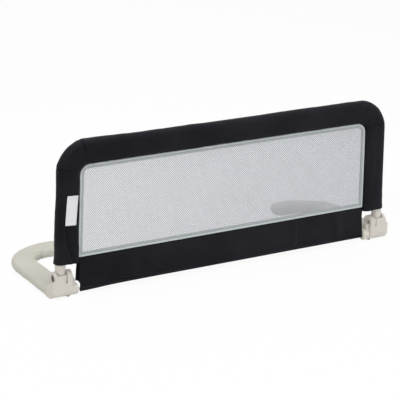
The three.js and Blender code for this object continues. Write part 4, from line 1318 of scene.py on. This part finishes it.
# %% Hinge shoe
CHEEK_RADIUS = 0.0159
CHEEK_INNER = 0.0125
RING_OUTER = 0.0185
EAR_OUTER = 0.0245
WALL_INNER = 0.0122
WALL_TOP = PIVOT_Z + 0.0088
BASE_HEIGHT = 0.030
HEEL_HEIGHT = 0.024
HEEL_REACH = 0.021
GROUND_GAP = 0.0008
TOE_RADIUS = 0.020
FLARE = 0.0069
FLARE_TOP = PIVOT_Z + 0.001
FLARE_STEP = 0.0013
FLARE_STEPS = 5
OVERLAP = 0.002
BEYOND = 0.03
SHOE_FRONT = -0.02
SHOE_TOP = 0.07
CUP_DEPTH = 0.0034
RING_WALL = 0.0074
EAR_CUP_RADIUS = 0.0082
EAR_CUP_DEPTH = 0.0022
BOLT_BORE = 0.0033
NUT_BORE = 0.0063
NUT_DEPTH = 0.007
LOCK_Z = PIVOT_Z - 0.0088
PIN_BORE = 0.0021
COLLAR_BORE = 0.0030
SPRING_WALL = 0.004
CHEEK_FOOT = 0.026
SLIT_OUT = 0.0084
SLIT_WIDTH = 0.0026
SLIT_FOOT = 0.036
LINE_NEAR, LINE_FAR = 0.0010, 0.0016
LINE_DEPTH = 0.0005
LINE_PAST = 0.001


def toe_and_heel():
    toe = arc(-CHEEK_RADIUS + TOE_RADIUS, GROUND_GAP + TOE_RADIUS, TOE_RADIUS, 2, 3)
    return toe + [(HEEL_REACH, GROUND_GAP), (HEEL_REACH, HEEL_HEIGHT), (CHEEK_RADIUS, BASE_HEIGHT)]


def cheek_outline():
    return [(-CHEEK_RADIUS, CHEEK_FOOT), (CHEEK_RADIUS, CHEEK_FOOT)] + arc(0, PIVOT_Z, CHEEK_RADIUS, 0, 2)


def box_solid(low, high, y0, y1, z0, z1):
    return prism([(y0, z0), (y1, z0), (y1, z1), (y0, z1)], low, high)


def make_shoe():
    wall = [(-CHEEK_RADIUS, WALL_TOP)] + toe_and_heel() + [(-WALL_INNER, BASE_HEIGHT),
                                                           (-WALL_INNER, WALL_TOP)]
    shoe = prism(wall, -EAR_OUTER, RING_OUTER)
    flares = [prism([(-CHEEK_RADIUS, FLARE_TOP - FLARE_STEP * i)] + toe_and_heel(), RING_OUTER - OVERLAP,
                    RING_OUTER + FLARE - FLARE_STEP * (FLARE_STEPS - i)) for i in range(1, FLARE_STEPS + 1)]
    combine(shoe, flares + [prism(cheek_outline(), CHEEK_INNER, RING_OUTER),
                            prism(cheek_outline(), -EAR_OUTER, -CHEEK_INNER)], "UNION")
    slit = box_solid(-SLIT_OUT - SLIT_WIDTH, -SLIT_OUT, SHOE_FRONT, -WALL_INNER, SLIT_FOOT, SHOE_TOP)
    line = box_solid(-SLIT_OUT - LINE_FAR, -SLIT_OUT - LINE_NEAR, SHOE_FRONT, -CHEEK_RADIUS + LINE_DEPTH,
                     -LINE_PAST, SLIT_FOOT + LINE_PAST)
    pivot_holes = ((CHEEK_RADIUS - RING_WALL, RING_OUTER - CUP_DEPTH, BEYOND), (BOLT_BORE, -BEYOND, BEYOND),
                   (NUT_BORE, -BEYOND, -EAR_OUTER + NUT_DEPTH),
                   (EAR_CUP_RADIUS, -BEYOND, -EAR_OUTER + EAR_CUP_DEPTH))
    pin_holes = ((PIN_BORE, -BEYOND, -CHEEK_INNER),
                 (COLLAR_BORE, -EAR_OUTER + SPRING_WALL, -CHEEK_INNER + OVERLAP))
    holes = [rod(*hole, PIVOT_Z) for hole in pivot_holes] + [rod(*hole, LOCK_Z) for hole in pin_holes]
    combine(shoe, [slit, line] + holes, "DIFFERENCE")
    return mould(shoe, "hinge_shoe")


both_sides(make_shoe(), "hinge_shoe", plastic, "leg_{}", "plastic", "shoe")

# %% [markdown]
# Inside each shoe the post ends in a moulded lug that turns on the pivot bolt. The knob beside the shoe
# is a thick button on an arm that carries the lock pin. They are made the way the shoe is.

# %% Post lug and release knob
LUG_TOP = PIVOT_Z + 0.008
LUG_BORE = 0.0031
LUG_CUT = 0.02
PLUG_TOP = LUG_TOP + PLUG_LENGTH
PLUG_RADIUS = 0.0106
PLUG_OVERLAP = 0.004
KNOB_RADIUS = 0.013
KNOB_HEIGHT = 0.0155
KNOB_NEAR = -0.025
KNOB_END = -0.0416
KNOB_EDGE = 0.0045
ARM_WIDTH = 0.017
ARM_TOP = PIVOT_Z - 0.0034
ARM_THICKNESS = 0.008
PIN_SEAT = 0.0019
PIN_WALL = 0.0018


def make_lug():
    outline = [(TUBE_RADIUS, LUG_TOP), (-TUBE_RADIUS, LUG_TOP)] + arc(0, PIVOT_Z, TUBE_RADIUS, 2, 4)
    lug = prism(outline, -TUBE_RADIUS, TUBE_RADIUS)
    profile = ((LUG_TOP - PLUG_OVERLAP, PLUG_RADIUS), (PLUG_TOP, PLUG_RADIUS))
    combine(lug, [lathe(profile, (0, 0, 1), (POST_X, PANEL_Y, 0))], "UNION")
    combine(lug, [rod(LUG_BORE, -LUG_CUT, LUG_CUT, PIVOT_Z)], "DIFFERENCE")
    for vertex in lug.data.vertices:
        vertex.co = leaned(vertex.co)
    return mould(lug, "post_lug", rounds=4)


def make_knob():
    turns = [QUARTER * i / 8 for i in range(8, -1, -1)]
    edge = [(KNOB_END + KNOB_EDGE * (1 - math.sin(a)), KNOB_RADIUS - KNOB_EDGE * (1 - math.cos(a)))
            for a in turns]
    knob = lathe(edge + [(KNOB_NEAR, KNOB_RADIUS)], (1, 0, 0), (POST_X, PANEL_Y, KNOB_HEIGHT))
    half = ARM_WIDTH / 2
    arm = [(-half, KNOB_HEIGHT), (half, KNOB_HEIGHT)] + arc(0, ARM_TOP - half, half, 0, 2)
    combine(knob, [prism(arm, KNOB_NEAR - ARM_THICKNESS, KNOB_NEAR)], "UNION")
    combine(knob, [rod(PIN_SEAT, KNOB_NEAR - ARM_THICKNESS + PIN_WALL, 0, LOCK_Z)], "DIFFERENCE")
    return mould(knob, "release_knob", rounds=4)


both_sides(make_lug(), "lug", plastic, "rail", "plastic", "post_lug")
both_sides(make_knob(), "button", plastic, "knob_{}", "plastic", "release_knob")

# %% [markdown]
# The pivot bolt's head sits on a wide washer in the outer cup, both of dark steel. Their dark colour is
# partly the bolt's own finish and partly painted shade: the washer is made wide enough to fill the cup,
# so it darkens the cup's deep hollow as its shadow would. They are turned, so a profile spun about the
# bolt's line gives them, and a six-sided key hole is carved into the head.
# The rubber foot is turned too.

# %% Pivot bolt and rubber foot
BOLT_RADIUS = 0.003
BOLT_END = -EAR_OUTER + 0.0026
HEAD_RADIUS = 0.0064
HEAD_EDGE = 0.0012
SHADE_WASHER_RADIUS = 0.0081
# The washer nearly fills the outer cup, so its dark colour is painted shade for the cup's deep hollow.
WASHER_TOP = RING_OUTER - 0.0014
CHAMFER = 0.0004
HEAD_FOOT = RING_OUTER - CUP_DEPTH + 0.0003
HEAD_TOP = HEAD_FOOT + 0.0024
KEY_RADIUS = 0.0029
KEY_DEPTH = 0.0014
SMALL_SIDES = 48


def make_bolt():
    turns = [QUARTER * i / 6 for i in range(6, -1, -1)]
    dome = [(HEAD_TOP - HEAD_EDGE * (1 - math.cos(a)), HEAD_RADIUS - HEAD_EDGE * (1 - math.sin(a)))
            for a in turns]
    shaft = [(BOLT_END, BOLT_RADIUS), (HEAD_FOOT, BOLT_RADIUS)]
    washer = [(HEAD_FOOT, SHADE_WASHER_RADIUS), (WASHER_TOP - CHAMFER, SHADE_WASHER_RADIUS),
              (WASHER_TOP, SHADE_WASHER_RADIUS - CHAMFER), (WASHER_TOP, HEAD_RADIUS)]
    bolt = lathe(shaft + washer + dome, (1, 0, 0), (POST_X, PANEL_Y, PIVOT_Z), SMALL_SIDES)
    hexagon = [(KEY_RADIUS * math.cos(a), PIVOT_Z + KEY_RADIUS * math.sin(a)) for a in full_turn(6)]
    combine(bolt, [prism(hexagon, HEAD_TOP - KEY_DEPTH, HEAD_TOP + OVERLAP)], "DIFFERENCE")
    return face_outwards(bolt)


def make_foot():
    low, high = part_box("rubber_foot_right")
    middle, radius = (low + high) / 2, (high.x - low.x) / 2
    edge = 3 * CHAMFER
    profile = [(low.z, radius - edge), (low.z + CHAMFER, radius - CHAMFER), (low.z + edge, radius),
               (high.z, radius)]
    return smooth(lathe(profile, (0, 0, 1), (middle.x, middle.y, 0), SMALL_SIDES))


both_sides(make_bolt(), "pivot_screw", shade_dark_steel, "leg_{}", "steel", "pivot_bolt")
both_sides(make_foot(), "foot", rubber, "leg_{}", "rubber", "rubber_foot")

# %% [markdown]
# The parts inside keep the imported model's shapes, which are right as they are. They show when a leg is
# folded or the model is cut open, so each gets the finish that it has in the real rail.

# %% Finishes for the parts inside
INSIDE = {"post_rivet": steel, "pivot_nut": plastic, "lock_pin": steel, "knob_spring": steel,
          "leg_core": steel, "core_plug": dark_plastic, "leg_screw": steel, "skirt_hem_rod": dark_plastic}

for name, node in frame["nodes"].items():
    for start, material in INSIDE.items():
        if name.startswith(start):
            for place in node.material_slots:
                place.material = material
print("finished", sum(name.startswith(tuple(INSIDE)) for name in frame["nodes"]), "inner parts")

# %% [markdown]
# A pulled knob presses its spring together by the knob's travel, its inner end staying on its seat in the
# shoe. Here each spring only gets a mesh of its own, and its length and pressed length are printed.

# %% Springs and their pressed length
KNOB_TRAVEL = 0.0034
for word, side in SIDES:
    spring_low, spring_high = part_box(f"knob_spring_{word}")
    spring_length = spring_high.x - spring_low.x
    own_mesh(frame["nodes"][f"knob_spring_{word}"])
    pressed_length = spring_length - KNOB_TRAVEL
    print(f"spring {word}: {spring_length * 1000:.1f} mm, pressed to {pressed_length * 1000:.1f} mm")

# %% [markdown]
# Stitches follow lines. A line of plain points is laid on the cloth by moving each point to the nearest
# place of the surface. Geometry Nodes then sets one small spindle of thread at each step along it and
# turns it along the line. The corner seams get a round welt along the same kind of line.

# %% Geometry Nodes: stitches and welts
THREAD_LIFT = 0.0001


def lines_object(name, lines):
    points, edges = [], []
    for line in lines:
        edges += [(len(points) + i, len(points) + i + 1) for i in range(len(line) - 1)]
        points += line
    return mesh_object(name, points, [], edges)


def laid_on(pieces, points):
    """Each point moved to the nearest of the pieces' surfaces, and a little off it."""
    made = []
    for point in points:
        hits = [piece.closest_point_on_mesh(point)[1:3] for piece in pieces]
        place, normal = min(hits, key=lambda hit: (hit[0] - point).length)
        made.append(place + normal * THREAD_LIFT)
    return made


def stitch_tree():
    sizes = [(label, "Float") for label in ("Pitch", "Stitch Length", "Thread Width")]
    tree, given, result = new_tree("stitches", sizes + [("Material", "Material")])
    curves = add(tree, "GeometryNodeMeshToCurve", {"Mesh": given.outputs["Geometry"]})
    points = add(tree, "GeometryNodeCurveToPoints", {"Curve": curves.outputs[0],
                                                     "Length": given.outputs["Pitch"]}, mode="LENGTH")
    along = add(tree, "FunctionNodeAlignRotationToVector", {"Vector": points.outputs["Tangent"]}, axis="X")
    spindle = add(tree, "GeometryNodeMeshUVSphere", {"Segments": 6, "Rings": 4, "Radius": 0.5})
    width = given.outputs["Thread Width"]
    size = add(tree, "ShaderNodeCombineXYZ", {"X": given.outputs["Stitch Length"], "Y": width, "Z": width})
    stitches = add(tree, "GeometryNodeInstanceOnPoints", {"Points": points.outputs["Points"],
                                                          "Instance": spindle.outputs["Mesh"],
                                                          "Rotation": along.outputs[0],
                                                          "Scale": size.outputs[0]})
    finish_tree(tree, stitches.outputs[0], given, result)
    return tree


def welt_tree():
    tree, given, result = new_tree("welts", [("Thread Width", "Float"), ("Material", "Material")])
    curves = add(tree, "GeometryNodeMeshToCurve", {"Mesh": given.outputs["Geometry"]})
    radius = math_node(tree, "DIVIDE", given.outputs["Thread Width"], 2.0)
    ring = add(tree, "GeometryNodeCurvePrimitiveCircle", {"Resolution": 8, "Radius": radius})
    welts = add(tree, "GeometryNodeCurveToMesh", {"Curve": curves.outputs[0],
                                                  "Profile Curve": ring.outputs[0], "Fill Caps": True})
    finish_tree(tree, welts.outputs[0], given, result)
    return tree


STITCHES = stitch_tree()
WELTS = welt_tree()


def sew(name, lines, thread, slot, pitch=0.0036, length=0.0028, width=0.0005):
    values = {"Pitch": pitch, "Stitch Length": length, "Thread Width": width, "Material": thread}
    piece = smooth(run_tree(STITCHES, name, values, lines_object(name, lines)))
    dress(piece, thread, "rail", slot)
    print(name, len(piece.data.polygons), "faces")


# %% Seams, hems and tape stitches
SECTION_SKIP = 2
SEAM_TO_STITCH = 0.002
HEM_TO_STITCH = 0.0065
TUNNEL_TO_STITCH = 0.0005
LAID_PITCH = 0.003
LAID_AWAY = 0.01
TAPE_STITCHES = (0.5, 0.92)
WELT_WIDTH = 0.0014


def section_line(s_of, skip=SECTION_SKIP):
    """A line across the cover whose place along the hoop depends on the distance out."""
    return [on_hoop(s_of(p.x), p.x, p.y) for p in SECTION[skip:-skip]]


def seam_places(s):
    return (s, HOOP_LENGTH - s)


def seam_line(s):
    """The line of a seam on the cloth, as far out as the cloth rises there."""
    line = []
    section = list(zip(SECTION, SECTION_NORMALS, SECTION_LENGTHS))
    for point, normal, length in section[SECTION_SKIP:-SECTION_SKIP]:
        rise = cloth_rise(on_hoop(s, point.x, point.y), s, point, length, 0, 0, ()) * web_share(length)
        line.append(on_hoop(s, point.x + normal.x * rise, point.y + normal.y * rise))
    return line


welt_lines = [seam_line(s) for seam in (SEAM_LOW, SEAM_HIGH) for s in seam_places(seam)]
welts = run_tree(WELTS, "corner_welts", {"Thread Width": WELT_WIDTH, "Material": cloth},
                 lines_object("corner_welts", welt_lines))
dress(smooth(welts), cloth, "rail", "fabric")
panels = [top_panel, left_stile, right_stile] + gussets
corner_lines = []
for s in (SEAM_LOW - SEAM_TO_STITCH, SEAM_HIGH + SEAM_TO_STITCH):
    for place in seam_places(s):
        corner_lines.append(laid_on(panels, section_line(lambda out: place)))
sew("corner_stitches", corner_lines, dark_thread, "fabric")

hem_line = section_line(lambda out: hem_height(out) + HEM_TO_STITCH, skip=2 * SECTION_SKIP)
hem_line = laid_on([left_stile], hem_line)
mirror_line = [Vector((-p.x, p.y, p.z)) for p in hem_line]
sew("stile_hem_stitches", [hem_line, mirror_line], dark_thread, "fabric")

tunnel_seam = TUNNEL_Z + ROD_GAP + TUNNEL_LIP + TUNNEL_TO_STITCH
tunnel_line = [Vector((x, PANEL_Y - SWING - LAID_AWAY, tunnel_seam))
               for x in steps(skirt_low.x + LAID_PITCH, skirt_high.x - LAID_PITCH, LAID_PITCH)]
sew("skirt_hem_stitches", [laid_on([front_layer], tunnel_line)], dark_thread, "fabric")

tape_lines = []
for face in (-1, 1):
    for share in TAPE_STITCHES:
        height = TAPE_GAP + tape_height(share) + THREAD_LIFT
        line = [tape_point(station, share, face, height) for station in window_ring(LAID_PITCH)]
        tape_lines.append(line + line[:1])
sew("tape_stitches", tape_lines, grey_thread, "binding")

label_lines = []
for end in (-1, 1):
    up_by = end * (LABEL_HEIGHT - LABEL_FOLD) / 2
    line = [on_label(aside, up_by, LABEL_MIDDLE.y - LAID_AWAY) for aside in steps(-0.012, 0.012, 0.001)]
    label_lines.append(laid_on([label], line))
sew("label_stitches", label_lines, grey_thread, "label", pitch=0.0026, length=0.002, width=0.0004)
